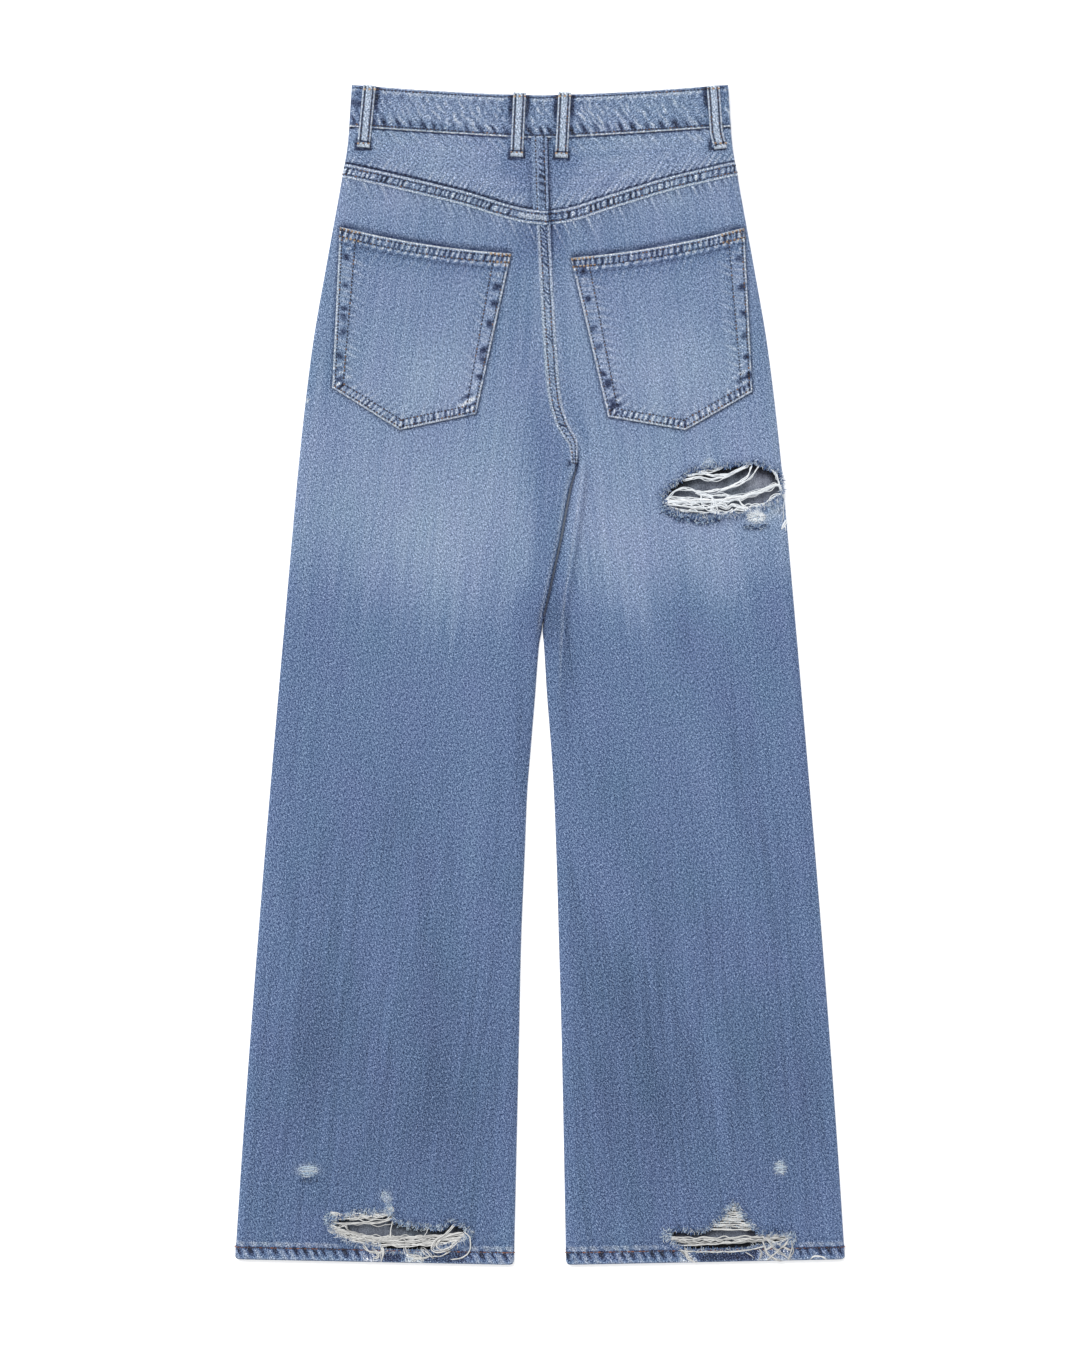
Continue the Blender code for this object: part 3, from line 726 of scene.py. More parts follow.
# Each rip: the leg it is in, and the outline of its hole, counter-clockwise.
rips = {
    "thigh": ("right", [
        (115.6, 170), (117.5, 160), (122, 155), (132.4, 151), (151.5, 147.5), (163, 149), (176, 150.5),
        (190, 151), (196, 154.5), (208, 156), (214, 161), (222, 163.5), (228, 170), (228.3, 180),
        (227, 188), (216, 194.5), (207, 198.5), (198.5, 199.5), (186, 198.5), (176.5, 196),
        (163, 195.5), (151.5, 194.8), (139, 190), (129.5, 181.5), (121, 176),
    ]),
    "hem_left": ("left", [
        (-197, -512), (-197.5, -520), (-188, -529), (-172, -535), (-152, -537.5), (-146, -541.5),
        (-124, -542.5), (-101, -542), (-96, -538), (-80, -536), (-70, -530), (-66, -523), (-71, -519),
        (-78.4, -515.5), (-85.2, -511.5), (-90.9, -518.5), (-95.5, -520.5), (-104, -518),
        (-113.7, -517), (-125, -515.8), (-136.5, -513), (-139.5, -504), (-152.4, -503.8),
        (-170.6, -504.2), (-182, -507.5),
    ]),
    "hem_right": ("right", [
        (116.4, -525), (121, -531), (131, -538), (148, -541), (175, -541), (196, -540), (203, -536.5),
        (222, -535), (236.5, -532.7), (237, -524.5), (222, -524), (206, -523.8), (199, -517),
        (193, -508), (186.5, -499), (182.4, -495.5), (177, -500.5), (172, -507), (165, -514),
        (157.3, -520), (150, -522.6), (127, -521.6),
    ]),
}

# Small places that are worn through the dye, or have kept it.
worn_spots = (
    (-218.3, -465.8, 8, 4.6, 0, 0.60), (-144.8, -490, 4, 4.5, 0, 0.40), (225.6, -463.3, 4.5, 5, 0, 0.45),
    (203.5, 148.5, 9.5, 5.5, 0, 0.70), (222, 157, 8, 6.5, 0, 0.45), (158, 199.8, 6, 3, 0, 0.55),
    (-84.6, 278.7, 1.8, 1.2, 0, 0.7), (-219, 258, 1.4, 1.8, 0, 0.7), (190, 297.5, 1.6, 1.4, 0, 0.6),
    (202, 137.5, 10, 1.8, 0, -0.75), (-218, -475, 9, 2.2, 0, -0.45), (-142.5, -501, 3, 6, 0, 0.55),
    (27.5, 199, 2.2, 3.6, 0, -1.1),
)


def ragged(number, jag=0.8):
    """A rip's outline with torn teeth, about a millimetre apart."""
    outline = list(rips.values())[number][1]
    random = np.random.default_rng(90 + number)
    line = resampled(outline + outline[:1], 1.1)[:-1]
    travel = np.roll(line, -1, axis=0) - np.roll(line, 1, axis=0)
    travel /= np.linalg.norm(travel, axis=1, keepdims=True)
    out = np.stack((travel[:, 1], -travel[:, 0]), axis=-1)
    return line + out * random.normal(0, jag, (len(line), 1)).clip(-1.6, 1.6)


def rip_distance(outline, x, y):
    """Distance in millimetres to an outline, within 20 of it."""
    line = resampled(outline + outline[:1], 2)
    distance = np.full(np.shape(x), 99.0)
    near = (x > line[:, 0].min() - 20) & (x < line[:, 0].max() + 20)
    near &= (y > line[:, 1].min() - 20) & (y < line[:, 1].max() + 20)
    distance[near] = np.hypot(x[near][:, None] - line[:, 0], y[near][:, None] - line[:, 1]).min(axis=1)
    return distance


def rip_lift(x, y):
    """How far the cloth stands up beside the rips."""
    return sum(RIP_LIFT * bell(rip_distance(outline, x, y), 0, 6.5) for _, outline in rips.values())


def torn_leg(side):
    """The panel with its rips cut through it."""
    leg = back_leg(side)
    for number, (torn_side, _) in enumerate(rips.values()):
        if torn_side != side:
            continue
        edge = ragged(number)
        count = len(edge)
        points = [(x, y, z) for z in (0.4, 20) for x, y in edge]
        faces = [list(range(count, 2 * count)), list(range(count - 1, -1, -1))]
        faces += [[i, (i + 1) % count, (i + 1) % count + count, i + count] for i in range(count)]
        cutter = new_object("cutter", new_mesh("cutter", points, faces))
        tear = leg.modifiers.new("tear", "BOOLEAN")
        tear.object = cutter
        tear.operation = "DIFFERENCE"
        tear.solver = "EXACT"
        bpy.context.view_layer.update()
        mesh = bpy.data.meshes.new_from_object(leg.evaluated_get(bpy.context.evaluated_depsgraph_get()))
        leg.modifiers.remove(tear)
        bpy.data.objects.remove(cutter)
        leg.data = mesh
    leg.data.name = leg.name
    spot = spots(leg.data)
    spot[:, 2] += rip_lift(spot[:, 0] / MM, spot[:, 1] / MM) * MM
    leg.data.vertices.foreach_set("co", spot.ravel())
    return leg


def torn_wear_and_shade(x, y):
    """The legs' wear and painted shade, with the cloth beside each rip rubbed pale and blue in turn."""
    wear = leg_wear_and_shade(x, y)
    for name, (_, outline) in rips.items():
        distance = rip_distance(outline, x, y)
        wear = wear + np.exp(-distance / 1.8) * (0.45 + 0.35 * puckers(x + 0.6 * y, 4, 95))
        wear = wear - 0.30 * bell(distance, 4.5, 2.5)
        if name == "thigh":
            below = eased(160 - y, 0, 6) * eased(176 - x, 0, 10)
            wear = wear + below * bell(distance, 2.6, 3) * (1.1 * puckers(x + 0.8 * y, 3.3, 96) - 0.7)
    return wear + patches(worn_spots, x, y)


def leaning(x, y, side, degrees):
    """A grain that leans with the piece it is on, on either side alike."""
    lean = math.radians(-SIDES[side] * degrees)
    return x * math.cos(lean) - y * math.sin(lean), x * math.sin(lean) + y * math.cos(lean)


back_legs = {side: torn_leg(side) for side in SIDES}
for side, leg in back_legs.items():
    paint(leg, leg_fade, torn_wear_and_shade, lambda x, y: leaning(x, y, side, LEG_LEAN))
    place(leg, "denim_back", f"back_leg_{side}")


# ---------------------------------------------------------------------------
# Hems. Each leg's end is folded up on itself and sewn with one row of rust thread,
# which draws the fold into slanting ropes that wear pale on top.

HEM_WAVE = 0.42
HEM_ROW = HEM_DEPTH - 1.2


def strip_grid(path, gap, offsets, widths=None):
    """Grid over a strip on the right of a path: x, y, offset from it and distance along."""
    line = resampled(path, gap)
    travel = np.gradient(line, axis=0)
    travel /= np.linalg.norm(travel, axis=1, keepdims=True)
    right = np.stack((travel[:, 1], -travel[:, 0]), axis=-1)
    scale = np.ones(len(line)) if widths is None else np.interp(
        np.linspace(0, 1, len(line)), np.linspace(0, 1, len(widths)), widths)
    off = np.asarray(offsets, dtype=float)[None, :] * scale[:, None]
    spot = line[:, None] + off[..., None] * right[:, None]
    return spot[..., 0], spot[..., 1], off, np.broadcast_to(distances(line)[:, None], off.shape)


def hem_path(side):
    """Bottom edge of a leg, from high x to low x."""
    low, high = (edge(HEM_Y) for edge in sides_of(side))
    x = np.linspace(high - 0.3, low + 0.3, 60)
    return np.stack((x, hem_level(x)), axis=-1)


def hem_rope(x, off):
    return hem_ropes(x, off + HEM_Y, 13)


def hem_face(x, y, off):
    """Outer face of the folded hem."""
    fold = 1.6 * (1 - rounded(off, 1.8))
    row = 0.35 * bell(off, HEM_ROW, 0.9)
    top = 0.5 * (1 - rounded(HEM_DEPTH + 0.3 - off, 0.8))
    rope = HEM_WAVE * hem_rope(x, off) * eased(off, 0, 3) * (0.5 + 0.5 * bell(off, 7, 4.5))
    return back_face(x, y, HEM_WALL) + 0.35 - fold - row - top + rope + rip_lift(x, y)


def flat_store(piece, fade, wear, u, v):
    """Stores a wall's fade, wear and painted shade, and grain. Inner points take the mean of each."""
    for label, value in (("fade", fade), ("wear", wear)):
        full = np.full(len(piece.data.vertices), float(np.mean(value)))
        full[:value.size] = value.ravel()
        store(piece.data, label, full)
    chart = spots(piece.data)[:, :2] / MM
    chart[:u.size] = np.stack((u.ravel(), v.ravel()), axis=-1)
    store_grain(piece.data, chart)


# Where a hem is torn: x from and to, how far it is torn, and how pale (or dark) it is.
hem_tears = (
    (-147, -130, 0.9, -1.05), (-127, -109, 0.8, 0.60), (-110, -69, 0.8, -0.85), (-166, -150, 0.5, 0.25),
    (149, 204, 0.95, -1.15), (204, 238, 0.8, 0.22), (132, 148, 0.6, 0.30),
)


def hem_torn(x, off):
    """How far the folded hem is torn, and how that changes its wear."""
    torn, shift = np.zeros(x.shape), np.zeros(x.shape)
    shore = x + 1.6 * puckers(x + 2.3 * off, 7, 18)
    mottled = 2 * puckers(x - 0.8 * off, 3.4, 16) * puckers(x + off, 4.6, 17) + 0.9 * bell(off, 0.7, 0.9)
    for low, high, depth, pale in hem_tears:
        here = window(shore, low - 2.5, low + 2.5, high - 2.5, high + 2.5)
        here = here * eased(HEM_DEPTH + 0.5 - off, 0, 1.5)
        torn = np.maximum(torn, depth * here)
        shift = shift + here * (pale + mottled + 0.70 * puckers(x + 1.4 * off, 2.7, 19))
    return torn, shift


def hem(side):
    offsets = (0, 0.15, 0.5, 1, 1.7, 2.6, 3.6, 4.6, 5.6, 6.6, 7.6, 8.6, 9.6, 10.4, 11, 11.6, 12.2, 12.8)
    x, y, off, _ = strip_grid(hem_path(side), 1.1, offsets)
    y = y + hem_corner(x) * (1 - off / offsets[-1])
    outer = on_height(x, y, hem_face(x, y, off))
    inner = on_height(x, y, np.maximum(back_face(x, y, HEM_WALL) - 2, rim_height(y, HEM_WALL)))
    piece = cloth_wall(f"hem_{side}", MOTTLED, outer, inner, step=3)
    rope = hem_rope(x, off)
    body = window(off, 0.5, 2.5, HEM_DEPTH - 1.5, HEM_DEPTH)
    trough, ridge = np.clip(-1.7 * rope - 0.1, 0, 1), np.clip(1.5 * rope, 0, 1)
    wear = 0.22 * body * ridge ** 1.3 - 1.75 * trough ** 0.8 * bell(off, 8.6, 4.2)
    wear = wear + 0.16 * bell(off, 0.8, 1.5) - 0.80 * bell(off, HEM_DEPTH - 1, 1.4)
    wear = wear + 0.14 * puckers(1.3 * x - off, 4.3, 15) * body
    torn, shift = hem_torn(x, off)
    fade = 0.56 - 0.30 * eased(off, 1.5, 6) + 0.10 * rope - 0.25 * np.clip(-shift, 0, 1) - 0.06 * (x > 0)
    flat_store(piece, fade, wear * (1 - torn) + shift, x, y)
    return piece


for side in SIDES:
    place(hem(side), "denim_back")


# ---------------------------------------------------------------------------
# Sewing thread. Every row is polyester thread, rust or tan, in stitches that the
# washing has left partly pale. The rows are laid as paths and stitched at the end.

stitch_rows = {"rust": [], "tan": [], "gold": []}


def sew(colour, x, y, z):
    """Adds a row of stitches on a path over the cloth."""
    stitch_rows[colour].append(np.stack((np.ravel(x), np.ravel(y), np.ravel(z)), axis=-1))


for side in SIDES:
    x, y, off, _ = strip_grid(hem_path(side), 2, (HEM_ROW,))
    sew("rust", x, y, hem_face(x, y, off) + 0.25)


# ---------------------------------------------------------------------------
# Back yokes. The two pieces between the seat and the waistband, cut across the
# hips and sewn under the legs' top edge and into the waistband.

def yoke_drags(x, y, pitch, reach):
    """Slanting puckers that the band's seam and the legs' seam draw into a yoke."""
    under_band = puckers(x + 0.9 * y, 9.5, 21) * fading(waist_seam(x) - y, 9)
    return under_band, puckers(x - 0.7 * y, pitch, 22) * fading(y - yoke_seam(x) - reach[0], reach[1])


def yoke_relief(x, y):
    under_band, over_seam = yoke_drags(x, y, 6.5, (0, 7))
    rise = 0.30 * under_band + 0.22 * over_seam - 0.55 * fading(y - yoke_seam(x), 2.5)
    rise = rise + 0.25 * puckers(y - 0.6 * np.abs(x), 8, 23) * fading(beside_seat(x, y), 6)
    rise = rise + 0.22 * puckers(x * 0.8 + y * 0.6, 34, 24) + 0.16 * puckers(x * 0.5 - y, 22, 25)
    return rise * rounded(from_side(x, y), 6)


# Soft ovals of fade on the yokes. The darker ones beside the loops' feet are painted shade.
yoke_marks = (
    (0, 480, 26, 34, 0, -0.42), (-27, 487, 12, 16, 0, -0.25), (28, 487, 12, 16, 0, -0.25),
    (-165, 490, 10, 14, 0, -0.20), (165, 490, 10, 14, 0, -0.20), (-95, 486, 48, 12, 70, 0.08),
    (95, 482, 48, 14, -70, 0.10),
)


def yoke_wear_and_shade(x, y):
    under_band, over_seam = yoke_drags(x, y, 5.6, (1.5, 6.5))
    # Painted shadow under the band's edge and above the legs' fold at the yoke seam.
    wear = -0.95 * bell(waist_seam(x) - y, 1, 1.2) - 1.7 * bell(y - yoke_seam(x), 0.8, 1.1)
    wear = wear + 0.55 * under_band + 0.86 * over_seam
    right_of_seat = x - centre_x(y)
    # Painted shadow close right of the seat's fell, and darker 15 to its left.
    wear = wear - 0.9 * bell(right_of_seat, 1.2, 1.4) - 0.35 * bell(right_of_seat, -15, 5)
    return wear + 0.14 * puckers(x * 0.8 + y * 0.6, 34, 24) * puckers(x * 0.5 - y, 22, 25)


def yoke(side):
    plain = (0, 3)
    insets = (LEG_EDGE, plain) if side == "left" else (plain, LEG_EDGE)
    x, y = panel_grid(
        *sides_of(side), lambda x: yoke_seam(x) + SEAM_GAP, lambda x: waist_seam(x) - SEAM_GAP,
        lambda foot, head: ((foot, 1.2), (foot + 10, 1.8), (head - 14, 1.2), (head, 0)), 105, *insets,
    )
    base = back_face(x, y)
    inner = inward(on_height(x, y, base - 0.5), 0.9, rim_height(y))
    return cloth_wall(f"yoke_{side}", MOTTLED, on_height(x, y, base + yoke_relief(x, y)), inner)


yokes = {side: yoke(side) for side in SIDES}
for side, piece in yokes.items():
    paint(piece, lambda x, y: 0.76 + patches(yoke_marks, x, y), yoke_wear_and_shade, lambda x, y: (y, x))
    place(piece, "denim_yoke", f"yoke_{side}")


# ---------------------------------------------------------------------------
# Flat-felled seams. The legs' edges are folded over the yokes', and the left half's
# over the right's at the seat, and each fold is sewn down with two tan rows.

FELL_WIDTH = 12.8
ROW_INSET = 3.2
FELL_RISE = 0.75
SEAT_Y = 436


def two_rows(off, width, thick):
    return bell(off, ROW_INSET, thick) + bell(off, width - ROW_INSET, thick)


def fell_ladder(off, along, seed, width):
    """Puckers between the two rows of a fell, from -1 to 1, and where they show."""
    drift = 1.6 * puckers(along, 17, seed + 60)
    rungs = puckers(along + 0.25 * off + drift, 5.3, seed)
    low, high = ROW_INSET - 0.4, ROW_INSET + 1
    return rungs, window(off, low, high, width - high, width - low)


def fell_face(base, off, along, seed, width=FELL_WIDTH):
    rungs, between = fell_ladder(off, along, seed, width)
    shoulder = rounded(off + 0.9, 1.3) * rounded(width + 0.9 - off, 1.6)
    rise = (FELL_RISE + 0.35) * shoulder - 0.35 - 0.28 * two_rows(off, width, 0.8)
    return base + rise + 0.30 * rungs * between


def fell_wear_and_shade(off, along, seed, width):
    rungs, between = fell_ladder(off, along, seed, width)
    edge = 0.86 * bell(off, 1, 1) + 0.74 * bell(off, width - 1, 1)
    edge = edge * (0.8 + 0.25 * puckers(along, 3.1, seed + 50))
    patchy = 0.75 + 0.45 * puckers(along, 23, seed + 61)
    # Painted shadow just outside the fold's edge, and faintly beyond its other edge.
    outline = -1.7 * bell(off, -1, 0.85) - 0.25 * bell(off, width + 0.95, 0.7)
    ladder = between * (np.where(rungs > 0, 0.86, 2.3) * rungs * patchy + 0.08)
    return edge - 0.72 * two_rows(off, width, 0.9) + outline + ladder


def left_fell_wear_and_shade(off, along, seed, width):
    """The left yoke's fell is plain and pale where it reaches the seat."""
    plain = eased(along, 168, 174) * fell_ladder(off, along, seed, width)[1]
    return fell_wear_and_shade(off, along, seed, width) * (1 - 0.85 * plain) + 0.42 * plain


def seat_wear_and_shade(off, along, seed, width):
    """The seat's fell is rubbed pale, with dark blobs in a few places."""
    rungs = puckers(along + 0.8 * off + 1.6 * puckers(along, 17, seed + 60), 4.4, seed)
    _, between = fell_ladder(off, along, seed, width)
    patchy = 0.45 + 0.75 * puckers(along, 37, seed + 61) + 0.6 * bell(along, 18, 14)
    edge = 0.48 * bell(off, 1.2, 1.4) + 0.46 * bell(off, width - 1.4, 1.6)
    edge = edge * (0.85 + 0.2 * puckers(along, 3.1, seed + 50))
    edge = edge - 0.40 * bell(off, ROW_INSET, 0.8) - 0.12 * bell(off, width - ROW_INSET, 0.8)
    # Painted shadow beside its edge near its top, gone 90 along.
    outline = -0.75 * bell(off, -1, 0.9) * eased(-along, -90, -30)
    blobs = -2.2 * np.clip(patchy, 0.16, 1.3) * np.clip(-rungs, 0, 1)
    return edge + outline + between * (0.14 + blobs + 0.22 * np.clip(rungs, 0, 1))


def yoke_seat_wear_and_shade(off, along, seed, width):
    """Between the yokes the fell is plain on the left and blotched on the right."""
    rungs = puckers(along + 0.5 * off, 6.3, seed)
    blotched = window(off, 2.4, 3.6, 7.6, 9.6) * (0.35 + 0.65 * bell(along, 30, 17))
    edge = 0.16 * bell(off, 1, 1) - 0.5 * bell(off, ROW_INSET, 0.8) - 0.22 * bell(off, width - 1, 1.6)
    # Painted shadow just outside its edge.
    plain = 0.10 * eased(off, 8, 10) - 2.1 * bell(off, -1, 1.2)
    return edge + plain - 2.3 * blotched * np.clip(0.15 - rungs, 0, 1)


def fell_base(x, y):
    """The cloth that the fells lie on: legs and yokes, without the sunk edges."""
    return back_face(x, y) + np.where(y < yoke_seam(x), leg_relief(x, y), 0) * 0.4


def fell_tone(x, y):
    return np.where(y < 440, leg_fade(x, y), 0.7) * 0.7 + 0.24


def fell(name, x, y, seed, rubbed=fell_wear_and_shade, lift=None, width=FELL_WIDTH, widths=None):
    """A fell over the line x, y, rubbed and given painted shade in its own way and lifted where it needs it.
    """
    def face(x, y):
        return fell_base(x, y) + (lift(x) if lift else 0)

    path = np.stack((x, y), axis=-1)
    offsets = np.array([
        -0.9, -0.65, -0.2, 0.2, *np.linspace(0.6, width - 0.2, 16), width + 0.3, width + 0.7, width + 0.9,
    ])
    x, y, off, along = strip_grid(path, 0.85, offsets, widths)
    plain = off * 0 + offsets
    outer = on_height(x, y, fell_face(face(x, y), plain, along, seed, width))
    piece = cloth_wall(name, FOLDED, outer, on_height(x, y, face(x, y) - 0.7))
    flat_store(piece, fell_tone(x, y), rubbed(plain, along, seed, width), off, along)
    place(piece, "denim_back")
    for row in (ROW_INSET, width - ROW_INSET):
        x, y, off, along = strip_grid(path, 1, (row,), widths)
        sew("tan", x, y, fell_face(face(x, y), off * 0 + row, along, seed, width) + 0.25)
    return piece


left_x = np.linspace(-half_width(481) + 0.5, centre_x(SEAT_Y) + 0.2, 60)
right_x = np.linspace(centre_x(SEAT_Y) + 0.4, half_width(482) - 0.5, 60)
seat_y = np.linspace(428, 199, 100)
yoke_seat_y = np.linspace(505.5, 432, 40)
left_fell = fell(
    "yoke_fell_left", left_x, yoke_seam(left_x) - 0.7, 31, left_fell_wear_and_shade, lambda x: 0.9 * eased(x, -13, -8),
)
right_fell = fell("yoke_fell_right", right_x, yoke_seam(right_x), 32)
fell("yoke_seat_fell", centre_x(yoke_seat_y) + 0.3, yoke_seat_y, 34, yoke_seat_wear_and_shade, width=14.4)
fell(
    "seat_fell", centre_x(seat_y) + 0.3, seat_y, 33, seat_wear_and_shade, lambda x: 0.35, 12,
    (1, 1, 1, 1, 1, 1, 0.95, 0.85, 0.42),
)


def add_painted_shade(piece, change):
    """Adds painted shade to the wear and shade that a piece of cloth has stored."""
    x, y = spots(piece.data)[:, :2].astype(float).T / MM
    store(piece.data, "wear", stored(piece.data, "wear") + change(x, y))


# Painted shadow on the right half close under the left half's folded edge, and where the yoke fells meet at
# the seat.
for piece in (back_legs["right"], yokes["right"]):
    add_painted_shade(piece, lambda x, y: -1.5 * bell(x - centre_x(y), 1.5, 1.2) * eased(y, 365, 425))
add_painted_shade(left_fell, lambda x, y: -1.2 * bell(x, centre_x(SEAT_Y), 1.3))
add_painted_shade(right_fell, lambda x, y: -1.3 * bell(x, centre_x(SEAT_Y) + 1.4, 2.2))


# ---------------------------------------------------------------------------
# Back pockets. Each is a five-sided patch with a turned mouth hem, its other edges
# folded under, and twin tan rows. Hard wear whitens the folds and leaves dark dots.

POCKET_SAG = 4
STITCH_INSET = 2.6
POCKET_LIFT = 1.65
MOUTH_HEM = 9
FOOT_BAND = 8.9
SIDE_BAND = (15.5, 10)
POCKET_LEAN = 8

# Corners are given from low x to high x. `light` is the middle of a washed-out place,
# and `columns` the number of points each side of the tip.
pockets = {
    "left": {
        "mouth": ((-188, 421.1), (-27, 396.1)), "foot": ((-195.3, 269.7), (-132, 230.2), (-60.1, 245.2)),
        "seed": 41, "light": (-88, 283), "columns": (64, 76), "dots": (
            (-182, 392.7), (-183, 366.4), (-184, 344.5), (-184.5, 336.3), (-185, 322.5), (-186.7, 276.8),
            (-40.7, 364.5), (-42.6, 348.9), (-53.2, 305), (-53.2, 295.6), (-56.4, 279.9), (-188, 300),
            (-47.5, 330),
        ),
    },
    "right": {
        "mouth": ((28.9, 392), (191.8, 420.3)), "foot": ((64.1, 242.4), (136.8, 230.1), (199.7, 266.1)),
        "seed": 46, "light": (122, 292), "columns": (70, 70), "dots": (
            (40.7, 380.2), (45.1, 353.2), (50.2, 325.7), (55.2, 308.1), (59.6, 283), (63.9, 273.7),
            (186.8, 391.5), (189.9, 364.5), (191.2, 339.5), (191.8, 318.8), (194.3, 298.7),
            (197.4, 281.2), (68, 256),
        ),
    },
}


def sag(share):
    """How far the mouth's middle hangs below the line between its corners."""
    return POCKET_SAG * 4 * share * (1 - share)


def edge_terms(x, y, start, end):
    """Distance inside the line from start to end, on its right, and distance along it."""
    span = np.subtract(end, start)
    span = span / np.linalg.norm(span)
    dx, dy = x - start[0], y - start[1]
    return dx * span[1] - dy * span[0], dx * span[0] + dy * span[1]


def pocket_edges(shape, x, y):
    """Each edge's inset, distance along, band width and seed, and the least inset.

    The edges are the mouth, the high side, the foot's two, and the low side.
    """
    (mouth_low, mouth_high), (foot_low, tip, foot_high) = shape["mouth"], shape["foot"]
    share = np.clip((x - mouth_low[0]) / (mouth_high[0] - mouth_low[0]), 0, 1)
    corners = ((mouth_high, foot_high), (foot_high, tip), (tip, foot_low), (foot_low, mouth_low))
    terms = [edge_terms(x, y + sag(share), mouth_low, mouth_high)]
    terms += [edge_terms(x, y, start, end) for start, end in corners]
    side_band = SIDE_BAND[0] - (SIDE_BAND[0] - SIDE_BAND[1]) * np.clip((mouth_low[1] - y) / 160, 0, 1)
    widths = (MOUTH_HEM, side_band, FOOT_BAND, FOOT_BAND, side_band)
    edges = [(*term, width, shape["seed"] + n) for n, (term, width) in enumerate(zip(terms, widths))]
    return edges, np.min([off for off, _ in terms], axis=0)


def pocket_face(shape, x, y):
    edges, rim = pocket_edges(shape, x, y)
    fold = np.max([eased(width + 1 - off, 0, 1.8) for off, _, width, _ in edges], axis=0)
    base = fell_base(x, y) + POCKET_LIFT - 1.1 * (1 - rounded(rim, 1.2))
    rise = 0.65 * fold
    for (off, along, width, seed), strength in zip(edges, (0.30, 0.16, 0.30, 0.30, 0.16)):
        near = eased(off, 0.8, 2) * eased(width - off, -0.6, 1.2)
        rise = rise + strength * puckers(along + 0.2 * off, 5.3, seed) * near
        ripple = puckers(along + 0.5 * off, 7.5, seed + 5) * fading(off - width, 6) * (off > width)
        rise = rise + 0.24 * ripple - 0.26 * (bell(off, 1.8, 0.8) + bell(off, width, 0.8)) * (rim > 0.8)
    middle = eased(rim, 14, 45)
    return base + rise + 0.35 * middle + 0.14 * puckers(0.9 * x - 0.4 * y, 31, shape["seed"] + 9) * middle


def pocket_fade(shape, x, y):
    cx, cy = shape["light"]
    light = 0.16 * bell(np.hypot((x - cx) / 46, (y - cy) / 34), 0, 1)
    mouth = pocket_edges(shape, x, y)[0][0][0]
    return 0.58 + 0.27 * np.clip((420 - y) / 180, 0, 1) + light - 0.16 * bell(mouth, 17, 9)


# How each edge wears, in the edges' order: its puckers, its band and its groove.
edge_wear = ((0.95, 0, 0.62), (0.16, 0.12, 0.34), (0.95, 0.08, 0.45), (0.95, 0.08, 0.45), (0.16, 0.12, 0.34))


def pocket_wear_and_shade(shape, x, y):
    edges, rim = pocket_edges(shape, x, y)
    mouth = edges[0][0]
    frayed = 0.85 + 0.2 * puckers(x + y, 4.1, shape["seed"] + 11)
    wear = (0.76 + 0.24 * (mouth < 2.5)) * bell(rim, 0.75, 1) * frayed
    for number, ((off, along, width, seed), (strength, band, groove)) in enumerate(zip(edges, edge_wear)):
        near = eased(off, 1.4, 2.4) * eased(width - off, -0.4, 1) * (rim > 0.6)
        rungs = puckers(along + 0.2 * off, 5.3, seed)
        only = eased(mouth, MOUTH_HEM - 1, MOUTH_HEM + 1) if number else 1
        wear = wear + near * only * (strength * np.where(rungs > 0, 0.72, 1.55) * rungs + band)
        rows = 0.34 * bell(off, STITCH_INSET, 0.7) + 0.6 * groove * bell(off, width + 0.2, 0.9)
        wear = wear - rows * (rim > 1.9) * only
        ripple = puckers(along + 0.5 * off, 7.5, seed + 5) * (off > width) * (rim > 1) * only
        wear = wear + (0.45 if number else 0.75) * ripple * fading(off - width, 6.5)
    # A pale ridge under the mouth hem, and a band of painted shadow below it.
    wear = wear + 0.32 * bell(mouth, 11.3, 1.2) - 0.48 * bell(mouth, 14.6, 2)
    random = np.random.default_rng(shape["seed"] + 30)
    for dot_x, dot_y in shape["dots"]:
        wide, tall, lean, deep = random.uniform((2.6, 2.4, -0.6, 0.9), (4.2, 4.6, 0.6, 1.45))
        across = np.abs(x - dot_x + lean * (y - dot_y)) / wide
        wear = wear - deep * np.exp(-(across ** 3 + (np.abs(y - dot_y) / tall) ** 3))
    for (corner_x, corner_y), step in zip(shape["foot"][::2], (7, -7)):
        patch = bell(np.hypot((x - corner_x - step) / 8, (y - corner_y - 9) / 13), 0, 1)
        wear = wear + 1.3 * patch * puckers(x * 0.5 - y * 0.9, 8, shape["seed"] + 17) - 0.15 * patch
    return wear


def back_pocket(side):
    shape = pockets[side]
    mouth, foot = np.array(shape["mouth"]), np.array(shape["foot"])
    tip = (foot[1, 0] - foot[0, 0]) / (foot[2, 0] - foot[0, 0])
    low, high = shape["columns"]
    fine = np.array([0, 0.0015, 0.004, 0.0075, 0.012])
    across = (fine, np.linspace(0.018, tip, low), np.linspace(tip, 0.982, high), 1 - fine)
    across = np.unique(np.concatenate(across))
    down = np.concatenate((fine, np.linspace(0.018, 0.982, 145), (1 - fine)[::-1]))[::-1, None, None]
    head = mouth[0] + across[:, None] * (mouth[1] - mouth[0])
    head[:, 1] -= sag(across)
    base = np.stack([np.interp(across, [0, tip, 1], foot[:, axis]) for axis in (0, 1)], axis=-1)
    spot = head + down * (base - head)
    x, y = spot[..., 0], spot[..., 1]
    outer = on_height(x, y, pocket_face(shape, x, y))
    piece = cloth_wall(f"back_pocket_{side}", PANEL, outer, on_height(x, y, fell_base(x, y) + 0.3))
    grain = leaning(x, y, side, POCKET_LEAN)
    flat_store(piece, pocket_fade(shape, x, y), pocket_wear_and_shade(shape, x, y), *grain)
    return piece


